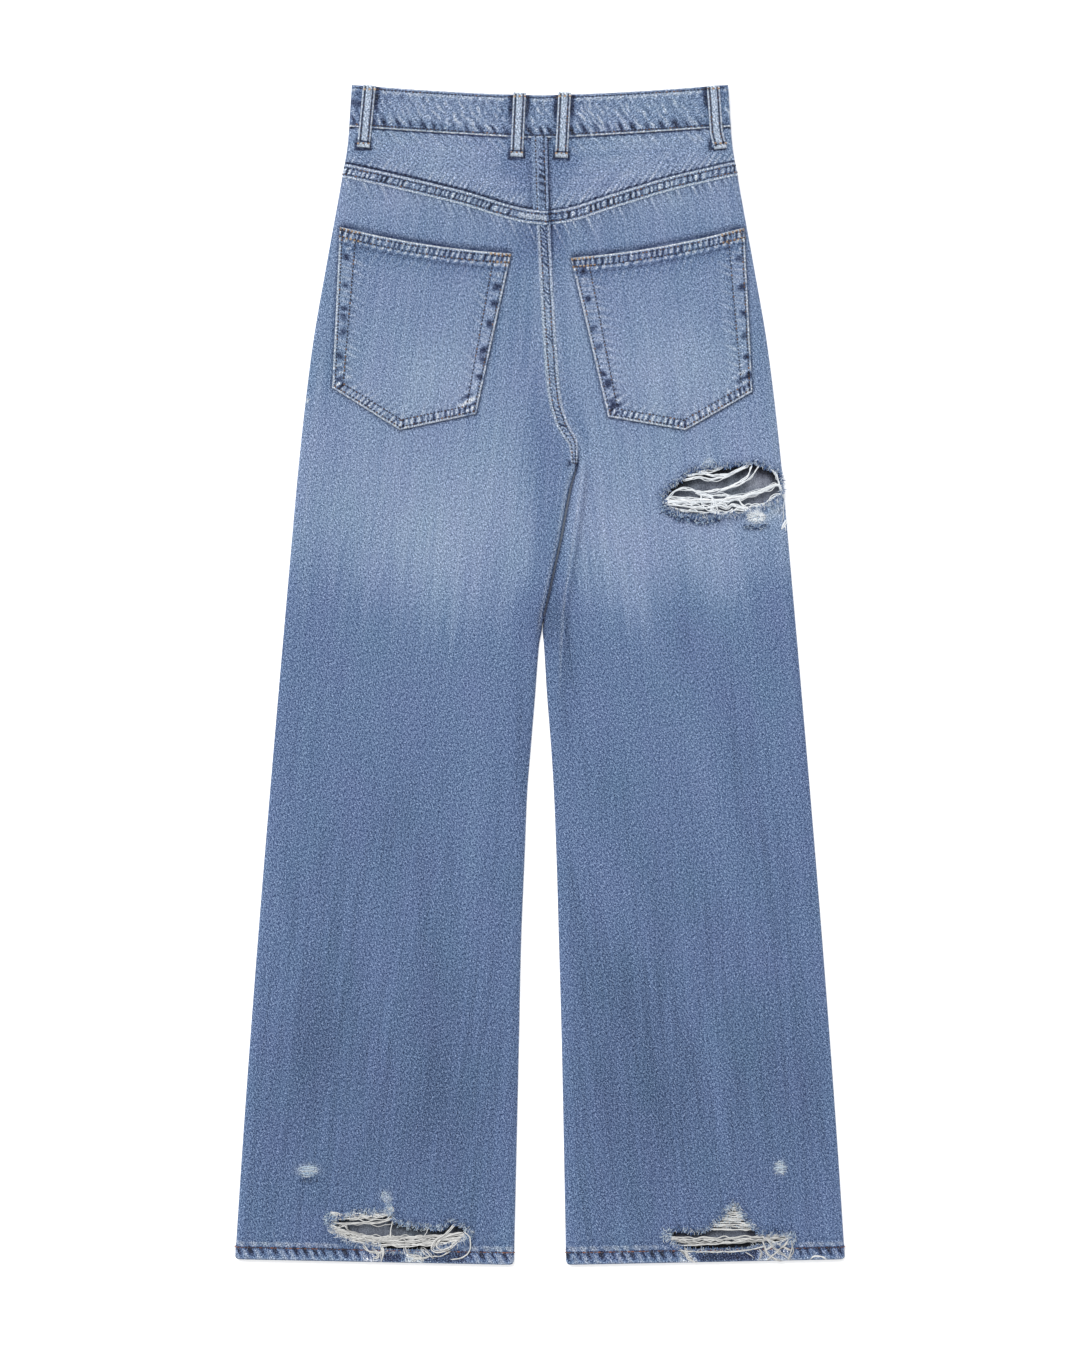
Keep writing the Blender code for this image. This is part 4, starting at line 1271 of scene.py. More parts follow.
def pocket_row(colour, shape, start, end, inset, first, last, hanging=False):
    """Sews a row `inset` inside the edge from start to end. Its two ends may differ."""
    span = np.subtract(end, start)
    length = np.linalg.norm(span)
    span = span / length
    right = np.array([span[1], -span[0]])
    where = np.linspace(first, length - last, 90)
    share = where / length
    inset = np.broadcast_to(inset, 2)
    width = inset[0] + (inset[1] - inset[0]) * share
    spot = np.array(start) + where[:, None] * span + width[:, None] * right
    if hanging:
        spot[:, 1] -= sag(np.clip(share, 0, 1))
    x, y = spot.T
    sew(colour, x, y, pocket_face(shape, x, y) + 0.22)


for side, shape in pockets.items():
    piece = back_pocket(side)
    mouth, (foot_low, tip, foot_high) = shape["mouth"], shape["foot"]
    sides = ((mouth[1], foot_high), (foot_low, mouth[0]))
    place(piece, "denim_pocket", f"back_pocket_{side}")
    for inset in (3.2, MOUTH_HEM):
        pocket_row("tan", shape, *mouth, inset, 1.5, 1.5, hanging=True)
    for corners in sides:
        pocket_row("tan", shape, *corners, STITCH_INSET, 2.6, 2.6)
    pocket_row("tan", shape, *sides[0], SIDE_BAND, 11, 10)
    pocket_row("tan", shape, *sides[1], SIDE_BAND[::-1], 10, 11)
    for inset, trim in ((STITCH_INSET, 2), (FOOT_BAND, 8)):
        pocket_row("tan", shape, foot_high, tip, inset, trim, 0.3 * inset)
        pocket_row("tan", shape, tip, foot_low, inset, 0.3 * inset, trim)
    for inset in (1, 2, MOUTH_HEM - 0.6, MOUTH_HEM + 0.5):
        pocket_row("gold", shape, *mouth, inset, 1, 144, hanging=True)
        pocket_row("gold", shape, *mouth, inset, 144, 1, hanging=True)


def pocket_shadow(x, y):
    """Painted shadow on the leg close round a pocket, and most above its mouth."""
    total = np.zeros(x.shape)
    for shape in pockets.values():
        edges, rim = pocket_edges(shape, x, y)
        mouth, along = edges[0][:2]
        total = total - 0.72 * bell(rim, -0.9, 1.1)
        total = total - 0.62 * bell(mouth, -3, 2.6) * window(along, -2, 3, 158, 165)
    return total


for leg in back_legs.values():
    add_painted_shade(leg, pocket_shadow)


# ---------------------------------------------------------------------------
# Waistband. One strip folded double that goes all the way round, with the legs and
# yokes sewn into its lower edge. Its cloth creeps, so it lies in slanting ropes.

BAND = 2
BAND_OUTER_Z = 8.4
BAND_OVERLAP = (-15, 14)
BAND_LENGTH = 39.4
BAND_LAP = 0.6
BAND_ROWS = (2.6, BAND_DEPTH - 1.8)
LOOP_WIDTH = 11.8
LOOP_LENGTH = 58

# The middle of each back loop at its head and foot.
back_loops = {
    "side_left": ((-160.1, 553.2), (-165.8, 494.9)), "back_left": ((-19.1, 546.6), (-21.9, 486.5)),
    "back_right": ((23.2, 546.9), (20.1, 485.6)), "side_right": ((162.6, 553.9), (166.6, 494.9)),
}


def band_rope(x, off):
    """Slanting ropes, bent and broken by the cloth's creep."""
    bent = x - 0.75 * off + 3 * puckers(0.5 * x + off, 19, 57)
    uneven = 0.62 + 0.38 * puckers(x + 0.9 * off, 27, 58)
    return puckers(bent, 12, 51) * uneven + 0.30 * puckers(x + 1.1 * off, 9, 59)


def band_ends(off):
    """1 over the band and 0 at its two folded edges."""
    return rounded(off + 0.2, 1.4) * rounded(BAND_DEPTH + 0.7 - off, 1.4)


def band_relief(x, off):
    """Ripples of the band over x and the distance from its top edge."""
    rope = 0.42 * band_rope(x, off) * (0.45 + 0.55 * eased(off, 6, 30))
    fine = 0.22 * puckers(x - 0.4 * off, 11.4, 52) * bell(off, 31, 7)
    top = 0.16 * puckers(x + 0.3 * off, 5.2, 53) * bell(off, 5, 4)
    rows = 0.30 * (bell(off, BAND_ROWS[0], 0.8) + bell(off, BAND_DEPTH - 1.6, 0.8))
    free = eased(off, 1, 5) * eased(BAND_DEPTH - off, 0.5, 3)
    return (rope + fine + top) * free - rows - 1.2 * (1 - band_ends(off))


def band_fade(x, off):
    loops = sum(bell(x, (head[0] + foot[0]) / 2, 13) for head, foot in back_loops.values())
    return 0.72 - 0.30 * loops * (0.5 + 0.5 * eased(-off, -28, -12)) - 0.10 * bell(off, BAND_DEPTH, 6)


def band_wear_and_shade(x, off):
    wear = 0.30 * band_rope(x, off) * eased(off, 3, 14) * eased(BAND_DEPTH - off, 1, 4)
    crease = puckers(x - 0.62 * off + 1.4 * puckers(off + 0.3 * x, 13, 56), 6.4, 54) * eased(off, 3, 9)
    wear = wear + 0.50 * crease * (0.5 + 0.5 * puckers(x + 0.5 * off, 19, 55) + 0.4 * bell(x, 46, 16))
    fine = puckers(x - 0.4 * off, 11.4, 52)
    coarse = puckers(x + 0.5 * off, 10.4, 53)
    wear = wear - 1.7 * np.clip(-fine, 0, 1) * bell(off, BAND_DEPTH - 5.6, 4.2)
    wear = wear + 0.22 * np.clip(fine, 0, 1) * bell(off, BAND_DEPTH - 6.5, 3.6)
    wear = wear - 0.7 * np.clip(-coarse, 0, 1) * bell(off, 7.5, 3.6)
    for amount, middle, width in (
        (0.34, 5.2, 1.5), (0.95, BAND_DEPTH + 0.1, 0.8), (0.36, 0.2, 1), (0.22, 4, 0.9), (-0.50, 2.4, 0.7),
        (-0.72, BAND_ROWS[1], 0.8),
    ):
        wear = wear + amount * bell(off, middle, width)
    # Painted shadow on the band beside each loop, faint on the side loops' outer sides.
    upper = 0.35 + 0.65 * eased(-off, -25, -13)
    for head, foot in back_loops.values():
        middle = head[0] + (foot[0] - head[0]) * off / LOOP_LENGTH
        for beside in (-1, 1):
            outside = abs(head[0]) > 100 and beside * head[0] > 0
            shade = (0.45 if outside else 2) * upper * bell(x, middle + beside * (LOOP_WIDTH / 2 + 1.9), 2.2)
            wear = wear - shade * (0.8 + 0.3 * band_rope(x, off))
    fold = off - 10.5 - 0.33 * (x + 178)
    return wear + eased(-x, 163, 166) * (0.55 * bell(fold, 0, 1.2) - 0.9 * bell(fold, 5, 4))


def waistband():
    """The strip swept round the waist: left end, left side, back, right side, right end."""
    fold = (BAND_OUTER_Z - FRONT_LIFT) / 2
    run = WAIST_HALF - fold
    turn = np.linspace(0, math.pi, 15)[1:-1]
    behind = BAND + SEAM_GAP
    left_end = np.linspace(BAND_OVERLAP[1] / run, -1, 80)
    right_end = np.linspace(1, BAND_OVERLAP[0] / run, 80)
    # Each station: share of the half width, reach past it, height, and how much it is back.
    stations = [(share, 0, FRONT_LIFT, 0) for share in left_end]
    for a in turn:
        stations.append((-1, -fold * math.sin(a), FRONT_LIFT + fold * (1 - math.cos(a)), a / math.pi))
    stations += [(share, 0, BAND_OUTER_Z, 1) for share in np.linspace(-1, 1, 310)]
    for a in turn:
        stations.append((1, fold * math.sin(a), FRONT_LIFT + fold * (1 + math.cos(a)), 1 - a / math.pi))
    stations += [(share, 0, FRONT_LIFT + behind * eased(-share, -0.27, -0.13), 0) for share in right_end]
    share, out, z, back = np.array(stations).T[..., None]
    off = np.array([
        0, 0.15, 0.5, 1, 1.8, 2.6, 3.4, 4.4, *np.linspace(5.6, 33.5, 24), 34.6, 35.5, 36.3, 37, 37.7, 38.3,
        38.9, 39.25, BAND_LENGTH,
    ])
    x = share * (half_width(TOP - off) - fold) + out
    top = np.where(back > 0.5, waist_edge(x), waist_edge(x, FRONT_DIP))
    foot = np.where(back > 0.5, waist_seam(x), waist_seam(x, FRONT_DIP + 1)) - BAND_LAP
    turned = (np.abs(share) == 1) & (out != 0)
    top, foot = np.where(turned, TOP, top), np.where(turned, TOP - BAND_DEPTH - BAND_LAP, foot)
    y = top + off / BAND_LENGTH * (foot - top)
    flat, off = np.broadcast_to(z, x.shape), np.broadcast_to(off, x.shape)
    lowered = flat + 1.2 * (1 - band_ends(off)) * (flat < FRONT_LIFT + 3)
    outer = on_height(x, y, np.where(back == 1, flat + band_relief(x, off), lowered))
    piece = cloth_wall("waistband", FOLDED, outer, inward(on_height(x, y, flat), BAND, 0))
    flat_store(piece, band_fade(x, off), band_wear_and_shade(x, off), off, x)
    return piece


band = waistband()
place(band, "denim_band", "waistband")

x = np.linspace(-172, 172, 240)
top, foot = waist_edge(x), waist_seam(x) - BAND_LAP
for off in BAND_ROWS:
    sew("tan", x, top + off / BAND_LENGTH * (foot - top), BAND_OUTER_Z + band_relief(x, off) + 0.22)


# ---------------------------------------------------------------------------
# Belt loops. Each is a narrow strip folded in three with its edges meeting below,
# sewn with two dark rows, tucked in at its top and turned under at its bar-tacked foot.

LOOP_ROW = 3.6


def loop_wear_and_shade(off, along, length):
    wear = 0.55 * bell(np.abs(off) - LOOP_WIDTH / 2, -0.2, 0.9) + 0.12 * bell(off, 0, 2.4)
    wear = wear - 1.35 * bell(np.abs(off), LOOP_ROW + 0.1, 0.8) + 0.16 * puckers(along, 5, 61)
    folded = np.maximum(eased(along, length - 4.6, length - 4), eased(-along, -3.2, -2.4))
    wear = wear * (1 - folded) + folded * (0.30 + 0.2 * puckers(off + along, 3.2, 63))
    # Painted shadow across the loop just above its folded foot.
    return wear - 1.5 * bell(along, length - 5.4, 0.8)


def belt_loop(name, path, base, sign=1):
    """A loop along a path, over the heights that `base` gives. Sign -1 faces it down."""
    offsets = (
        0, 0.12, 0.4, 0.9, 1.6, 2.3, 3, 3.8, 4.6, 5.3, 5.9, 6.5, 7.2, 8, 8.8, 9.5, 10.2, 10.9, 11.4, 11.68,
        LOOP_WIDTH,
    )
    x, y, off, along = strip_grid(path, 0.8, offsets)
    length = along.max()
    side = off - LOOP_WIDTH / 2
    crown = 0.85 * rounded(LOOP_WIDTH / 2 - np.abs(side) + 0.05, 1.6) + 0.32 * bell(np.abs(side), 4.9, 0.8)
    crown = crown - 0.25 * bell(np.abs(side), LOOP_ROW, 0.6) + 0.12 * puckers(along, 5, 61)
    ends = rounded(along + 0.1, 1.5) * rounded(length - along + 0.1, 1.8)
    fold = 0.55 * eased(along, length - 5.5, length - 4.5)
    height = base(x, y, along, length)
    outer = on_height(x, y, height + sign * (crown + fold) * ends)
    inner = on_height(x, y, height - sign * 0.35)
    piece = cloth_wall(name, FOLDED, outer, inner, step=3, flip=sign < 0)
    flat_store(piece, np.full(x.shape, 1.32), loop_wear_and_shade(side, along, length), off, along)
    place(piece, "denim_loop", name)
    length * MM
    for row in (-LOOP_ROW, LOOP_ROW):
        x, y, off, along = (part[2:-4] for part in strip_grid(path, 1, (row + LOOP_WIDTH / 2,)))
        sew("tan", x, y, base(x, y, along, length) + sign * 0.85)


def over_band(x, y, along, length):
    """A back loop rests on the band, bows a little and comes down on the yoke."""
    on_band = BAND_OUTER_Z + LAID_GAP + 0.5 * bell(along, 0.4 * length, 0.3 * length)
    near_yoke = back_face(x, np.minimum(y, waist_seam(x) - 3)) + 0.75
    return on_band + (near_yoke - on_band) * eased(along, length - 19, length - 8)


def loop_path(head, foot, bend=0):
    """The high-x edge of a loop, from its head to its foot."""
    share = np.linspace(0, 1, 30)[:, None]
    path = head + share * np.subtract(foot, head)
    path[:, 0] += bend * eased(share[:, 0], 0.7, 1)
    path[:, 0] += LOOP_WIDTH / 2
    return path


for label, (head, foot) in back_loops.items():
    path = loop_path(head, foot, 3 if label == "side_right" else 0)
    belt_loop(f"belt_loop_{label}", path, over_band)
    start, end = path[0], path[-1]
    for shift in (3.9, 4.7):
        bar_x = np.linspace(end[0] - LOOP_WIDTH + 1, end[0] - 1, 12)
        bar_y = np.full(12, end[1] + shift)
        sew("gold", bar_x, bar_y, over_band(bar_x, bar_y, LOOP_LENGTH - 1, LOOP_LENGTH) + 1.45)
    for shift in (3, 3.8):
        bar_x = np.linspace(start[0] - LOOP_WIDTH + 1.2, start[0] - 0.9, 12)
        sew("gold", bar_x, np.full(12, start[1] - shift), np.full(12, BAND_OUTER_Z + 1.6))


def loop_shadow(x, y):
    """Painted shadow on the yokes close round the loops' feet, and under the band."""
    total = -0.5 * bell(waist_seam(x) - y, 1.2, 1)
    for _, foot in back_loops.values():
        beyond = np.maximum(np.abs(x - foot[0]) - LOOP_WIDTH / 2, foot[1] - y)
        total = total - 1.7 * bell(beyond, 0.9, 1.3) * eased(foot[1] + 16 - y, 0, 14)
    return total


for piece in yokes.values():
    add_painted_shade(piece, loop_shadow)


# ---------------------------------------------------------------------------
# Waist button. A pressed brass cap with a rolled rim and a plain domed face, on a
# shank that goes up through the buttonhole.

BUTTON_X = 1
button_y = (waist_edge(BUTTON_X, FRONT_DIP) + waist_seam(BUTTON_X, FRONT_DIP + 1)) / 2
# Radius and height, from the middle of the face out and up to the shank's top.
button_profile = (
    (0, 0.42), (2.4, 0.36), (4.6, 0.34), (5.9, 0.45), (6.5, 0.62), (6.9, 0.42), (7.3, 0.12), (7.8, 0),
    (8.3, 0.2), (8.5, 0.6), (8.35, 1.1), (7.8, 1.45), (6, 1.5), (2.1, 1.5), (1.9, 1.7), (1.8, 3.7),
)


def waist_button(around=48):
    points = [(BUTTON_X, button_y, button_profile[0][1])]
    for radius, z in button_profile[1:]:
        for step in range(around):
            angle = 2 * math.pi * step / around
            points.append((BUTTON_X + radius * math.cos(angle), button_y + radius * math.sin(angle), z))
    faces = [[0, 1 + (step + 1) % around, 1 + step] for step in range(around)]
    for ring in range(len(button_profile) - 2):
        for step in range(around):
            here, beside = 1 + ring * around + step, 1 + ring * around + (step + 1) % around
            faces.append([here, beside, beside + around, here + around])
    faces.append(list(range(len(points) - around, len(points))))
    return new_object("waist_button", new_mesh("waist_button", points, faces))


brass, start, shader = new_material("button_brass", metallic=1)
spot = start.node("ShaderNodeTexCoord", output=3)
tarnish = start.node("ShaderNodeTexNoise", {}, {"Vector": spot, "Scale": 420, "Detail": 4})
scuff = start.node("ShaderNodeTexNoise", {}, {"Vector": spot, "Scale": 2600, "Detail": 2})
tone = start.node("ShaderNodeValToRGB", {"stops": (
    (0.30, linear(112, 84, 48)), (0.55, linear(168, 130, 78)), (0.75, linear(196, 160, 104)),
)}, {"Fac": tarnish})
tone.into(shader, "Base Color")
(0.26 + scuff * 0.22).into(shader, "Roughness")
worn = start.node("ShaderNodeBump", {}, {"Height": scuff, "Strength": 0.15, "Distance": 0.0002})
worn.into(shader, "Normal")

button = waist_button()
button.data.materials.append(brass)
place(button, "button_brass", "waist_button")


# ---------------------------------------------------------------------------
# Front legs. One panel each, flat on the table, with the pocket mouth cut out of the
# top outer corner. Their wrong side, undyed on the weft, shows through the rips.

MOUTH_FOOT = 448
UNDER_STITCH = 0.85
mouth_x = Profile([(MOUTH_FOOT, 191), (451, 168), (458, 143), (470, 122), (486, 111), (512, 105)])

front_marks = (
    (-125, 120, 45, 120, 0, 0.30), (130, 120, 45, 120, 0, 0.30), (-70, 330, 60, 40, 60, 0.16),
    (75, 330, 60, 40, -60, 0.16), (-60, 250, 60, 9, 65, 0.16), (70, 275, 60, 9, -65, 0.16),
    (-150, -120, 40, 150, 0, 0.10), (150, -120, 40, 150, 0, 0.10),
)


def front_seam(x):
    """Where the front pieces end under the band."""
    return waist_seam(x, FRONT_DIP + 1) - SEAM_GAP


def front_relief(x, y):
    """Height that the front's outer face stands off the table, never below it."""
    edge = from_side(x, y)
    rise = 0.10 + 0.10 * puckers(y + 0.6 * np.abs(x), 7, 71) * fading(edge, 8)
    rise = rise + 0.10 * hem_ropes(x, y, 72) * fading(above_hem(x, y), 9)
    return rise + 1 - rounded(edge + 0.2, 2.5)


def front_wear(x, y):
    wear = 0.30 * puckers(y + 0.6 * np.abs(x), 7, 71) * fading(from_side(x, y), 6)
    mouth = np.abs(x) - mouth_x(y)
    drags = 0.30 * puckers(y + x, 6, 73) * bell(mouth, -6, 4)
    wear = wear + (y > 446) * (0.5 * bell(mouth, 0, 1.4) + drags)
    fly = x - centre_x(y)
    rubbed = 0.45 * bell(fly, 0, 1.3) - 0.4 * bell(fly, 2.2, 1.6)
    wear = wear + eased(y, 315, 345) * (rubbed + 0.3 * puckers(y, 7, 74) * bell(fly, -20, 16))
    off = y - hem_edge(x)
    ropes = 0.6 * hem_ropes(x, y, 72) * eased(off, 0.5, 3) * eased(HEM_DEPTH - off, -1, 1)
    return wear + ropes + 0.3 * bell(off, 0.5, 1.2)


def front_leg(side):
    def outer_edge(y):
        plain = half_width(y)
        return SIDES[side] * np.where(y < MOUTH_FOOT, plain, np.minimum(plain, mouth_x(y)))

    low, high = sides_of(side)
    edges = (outer_edge, high) if side == "left" else (low, outer_edge)
    rim = (0, 0.5, 1.2, 2.4, 4, 6)
    x, y = panel_grid(
        *edges, hem_edge, front_seam, lambda foot, head: (
            (foot, 2), (foot + 66, 5), (125, 2), (215, 5), (300, 3.5), (440, 2), (head, 0),
        ), 66, rim, rim, settle=(240, 20),
    )
    depth = np.where(y < hem_edge(x) + HEM_DEPTH + 0.5, HEM_WALL, CLOTH)
    relief = front_relief(x, y)
    outer = on_height(x, y, front_face(y) + relief)
    inner = on_height(x, y, front_face(y) + np.maximum(depth, relief + 0.2))
    return cloth_wall(f"front_leg_{side}", PANEL, outer, inner, step=2, flip=True)


def rip_shadow(x, y):
    """From 0 to 1 under each rip's upper edge: painted shadow on the inside."""
    most = np.zeros(x.shape)
    for name, (_, outline) in rips.items():
        line = resampled(outline + outline[:1], 2)
        travel = np.gradient(line, axis=0)
        line = line[travel[:, 0] < -0.25 * np.abs(travel[:, 1])]
        near = (np.abs(x - line[:, 0].mean()) < 90) & (np.abs(y - line[:, 1].mean()) < 60)
        gap = np.hypot(x[near][:, None] - line[:, 0], y[near][:, None] - line[:, 1]).min(axis=1)
        most[near] = np.maximum(most[near], bell(gap, 0, 8.5 if name == "thigh" else 6))
    return most


def shade_inside(leg):
    """Gives the panel's wrong side its own fade, with painted shadow under each rip's upper edge and towards
    the hem, lighter near x 206, y 181, and no wear.
    """
    x, y, z = spots(leg.data).astype(float).T / MM
    inside = z > front_face(y) + 0.75
    light = 0.40 * bell(np.hypot((x - 206) / 13, (y - 181) / 8), 0, 1)
    plain = 0.42 + 0.14 * puckers(x + 0.3 * y, 21, 75) + light
    # Painted shadow inside, under each rip's upper edge and below y -533.5 under the torn hems.
    plain = plain - 1.15 * rip_shadow(x, y) - 1.3 * eased(-y, 533.5, 536)
    store(leg.data, "fade", np.where(inside, plain, stored(leg.data, "fade")))
    store(leg.data, "wear", np.where(inside, 0, stored(leg.data, "wear")))


for side, sign in SIDES.items():
    leg = front_leg(side)
    paint(leg, lambda x, y: 0.9 * wash(y) + patches(front_marks, x, y), front_wear)
    shade_inside(leg)
    place(leg, "denim_front", f"front_leg_{side}")
    low, high = (edge(HEM_Y + 10) for edge in sides_of(side))
    x = np.linspace(low + 1, high - 1, 120)
    sew("rust", x, hem_edge(x) + HEM_ROW, np.full(120, UNDER_STITCH))
    y = np.linspace(449.5, 488, 50)
    for inset in (1.8, 7.4):
        sew("tan", sign * (mouth_x(y) - inset), y - 0.25 * inset, np.maximum(front_face(y), UNDER_STITCH))


# ---------------------------------------------------------------------------
# Front pocket facings and fly shield. The facing is the corner of cloth seen inside
# each pocket mouth, and the shield lies behind the closed fly.

FACING_TUCK = 16
FACING_WALL = 0.9
FLY_WIDTH = 40
FLY_FOOT = 332
FLY_BEND = 372
FRONT_LOOP_X = 96


def lining(name, x, y, under):
    """A thin piece inside the front, whose lower face is at the height `under`."""
    outer, inner = on_height(x, y, under), on_height(x, y, under + FACING_WALL)
    piece = cloth_wall(name, PANEL, outer, inner, step=2, flip=True)
    paint(piece, lambda x, y: 0.42 + 0.05 * puckers(x + y, 17, 81))
    place(piece, "denim_inner", name)


def front_facing(side):
    x, y = panel_grid(
        lambda y: mouth_x(y) - FACING_TUCK, half_width, lambda x: np.full(np.shape(x), MOUTH_FOOT + 2.0),
        front_seam, lambda foot, head: ((foot, 2), (head, 0)), 24,
        (0, 8, FACING_TUCK + 0.8, FACING_TUCK + 3), (0, 1), settle=(20, 20),
    )
    under = front_face(y) + np.where(x < mouth_x(y) + 1, CLOTH + LAID_GAP, 0.25)
    if side == "left":
        x, y, under = -x[:, ::-1], y[:, ::-1], under[:, ::-1]
    lining(f"front_pocket_facing_{side}", x, y, under)


def fly_shield():
    def high(y):
        return centre_x(y) + 3

    def foot(x):
        t = np.clip((high(FLY_FOOT) - x) / (FLY_WIDTH + 3), 0, 1)
        return FLY_FOOT + FLY_WIDTH * (1 - np.sqrt(1 - t ** 2))

    x, y = panel_grid(
        lambda y: centre_x(y) - FLY_WIDTH, high, foot, front_seam,
        lambda foot, head: ((foot, 3), (head, 0)), 14, (0, 2), (0, 1),
    )
    lining("fly_shield", x, y, front_face(y) + CLOTH + LAID_GAP)


for side in SIDES:
    front_facing(side)
fly_shield()

# The fly's stitching: two rows that turn in at its foot.
turn = np.linspace(0, math.pi / 2, 30)
line_y = np.linspace(484, FLY_BEND, 40)
for inset in (0, 6):
    arc_x = 8 - FLY_WIDTH + (FLY_WIDTH - 10 - inset) * (1 - np.cos(turn)) + inset
    arc_y = FLY_BEND - (FLY_WIDTH + 4 - inset) * np.sin(turn)
    x = np.concatenate((centre_x(line_y) + 8 - FLY_WIDTH + inset, centre_x(arc_y) + arc_x))
    y = np.concatenate((line_y, arc_y))
    sew("tan", x, y, np.maximum(front_face(y), UNDER_STITCH))

# Front belt loops, face down on the front of the band.
for side, sign in SIDES.items():
    top = waist_edge(FRONT_LOOP_X, FRONT_DIP) - 0.5
    path = loop_path((sign * FRONT_LOOP_X, top), (sign * FRONT_LOOP_X, top - LOOP_LENGTH + 1))
    belt_loop(f"belt_loop_front_{side}", path, lambda x, y, along, length: np.full(x.shape, 1.75), -1)


# ---------------------------------------------------------------------------
# The sewing itself. Each row of each colour becomes short stitches of thread,
# spaced along the path and sunk a little into the cloth.

def path_object(name, paths):
    """A curve object with one open line for each path, in millimetres."""
    curve = bpy.data.curves.new(name, "CURVE")
    curve.dimensions = "3D"
    for path in paths:
        line = curve.splines.new("POLY")
        line.points.add(len(path) - 1)
        weighted = np.concatenate((path * MM, np.ones((len(path), 1))), axis=1)
        line.points.foreach_set("co", weighted.astype(np.float32).ravel())
    return new_object(name, curve)


def new_tree(name, sizes):
    """A Geometry Nodes tree with a geometry in and out, named inputs and a material."""
    tree = bpy.data.node_groups.new(name, "GeometryNodeTree")
    for label, kind in (("Geometry", "Geometry"), *sizes, ("Material", "Material")):
        tree.interface.new_socket(label, in_out="INPUT", socket_type=f"NodeSocket{kind}")
    tree.interface.new_socket("Geometry", in_out="OUTPUT", socket_type="NodeSocketGeometry")
    group = tree.nodes.new("NodeGroupInput")
    inputs = {socket.name: Shade(tree, socket) for socket in group.outputs if socket.name}
    return Shade(tree), inputs


def chance(start, low, high, seed):
    """A random number for each item, from low to high."""
    values = {"Min": low, "Max": high, "Seed": seed}
    return start.node("FunctionNodeRandomValue", {"data_type": "FLOAT"}, values, output=1)


def with_tint(start, geometry, domain, tint):
    settings = {"data_type": "FLOAT", "domain": domain}
    values = {"Geometry": geometry, "Name": "tint", "Value": tint}
    return start.node("GeometryNodeStoreNamedAttribute", settings, values)


def finish_tree(start, geometry, inputs):
    """Ends a tree in real geometry with its material."""
    real = start.node("GeometryNodeRealizeInstances", {}, {"Geometry": geometry})
    set_on = start.node("GeometryNodeSetMaterial", {}, {"Geometry": real, "Material": inputs["Material"]})
    set_on.into(start.tree.nodes.new("NodeGroupOutput"), "Geometry")
    return start.tree


def points_along(start, inputs, gap):
    settings = {"mode": "LENGTH"}
    return start.node("GeometryNodeCurveToPoints", settings, {"Curve": inputs["Geometry"], "Length": gap})


def scattered(start, inputs, points, shape, turn, sizes, later=0):
    """Ends a tree in copies of a shape on points, uneven in size and in tint."""
    uneven = chance(start, *sizes, inputs["Seed"])
    placed = start.node("GeometryNodeInstanceOnPoints", {}, {
        "Points": points, "Instance": shape, "Rotation": turn, "Scale": uneven,
    })
    tint = chance(start, 0, 1, inputs["Seed"] + later if later else inputs["Seed"])
    return finish_tree(start, with_tint(start, placed, "INSTANCE", tint), inputs)


def grown(carrier, tree, name, **values):
    """The plain mesh that a tree makes on a carrier, which is then removed."""
    growth = carrier.modifiers.new("growth", "NODES")
    growth.node_group = tree
    sockets = {item.name: item.identifier for item in tree.interface.items_tree if item.in_out == "INPUT"}
    for label, value in values.items():
        growth[sockets[label.title()]] = value
    bpy.context.view_layer.update()
    seen = carrier.evaluated_get(bpy.context.evaluated_depsgraph_get())
    mesh = bpy.data.meshes.new_from_object(seen)
    mesh.name = name
    mesh.materials.clear()
    mesh.materials.append(values["material"])
    bpy.data.objects.remove(carrier)
    place(new_object(name, mesh), "denim_back")


def stitch_tree():
    start, inputs = new_tree("stitches", (
        ("Pitch", "Float"), ("Length", "Float"), ("Thickness", "Float"), ("Seed", "Int"),
    ))
    points = points_along(start, inputs, inputs["Pitch"])
    turn = Shade(start.tree, points.socket.node.outputs["Rotation"])
    bead = start.node("GeometryNodeMeshUVSphere", {}, {"Segments": 5, "Rings": 4, "Radius": 1})
    size = start.node("ShaderNodeCombineXYZ", {}, {
        "X": inputs["Thickness"], "Y": inputs["Thickness"], "Z": inputs["Length"],
    })
    shaped = start.node("GeometryNodeTransform", {}, {"Geometry": bead, "Scale": size})
    return scattered(start, inputs, points, shaped, turn, (0.78, 1.12))


def thread_material(name, stops, glow=0.0):
    """Plied thread. `stops` give each piece's place in the run of tints, and its colour. `glow` is a faint
    white emission: painted light.
    """
    material, start, shader = new_material(name, roughness=0.7, emission_strength=glow)
    shader.inputs["Emission Color"].default_value = (0.92, 0.97, 1, 1)
    tint = start.node("ShaderNodeAttribute", {"attribute_name": "tint"}, output=2)
    stops = [(at, linear(*colour)) for at, *colour in stops]
    start.node("ShaderNodeValToRGB", {"stops": stops}, {"Fac": tint}).into(shader, "Base Color")
    spot = start.node("ShaderNodeTexCoord", output=3)
    ply = start.node("ShaderNodeTexNoise", {}, {"Vector": spot, "Scale": 3800, "Detail": 1})
    fuzz = start.node("ShaderNodeBump", {}, {"Height": ply, "Strength": 0.5, "Distance": 0.0002})
    fuzz.into(shader, "Normal")
    return material


thread_colours = {
    "rust": ((0, 44, 38, 48), (0.5, 80, 58, 60), (1, 146, 98, 80)),
    "tan": ((0, 20, 24, 38), (0.6, 38, 40, 54), (0.85, 78, 64, 64), (1, 128, 102, 86)),
    "gold": ((0, 104, 84, 74), (0.5, 168, 134, 102), (1, 208, 186, 158)),
}
threads = {colour: thread_material(f"thread_{colour}", stops) for colour, stops in thread_colours.items()}
stitches = stitch_tree()
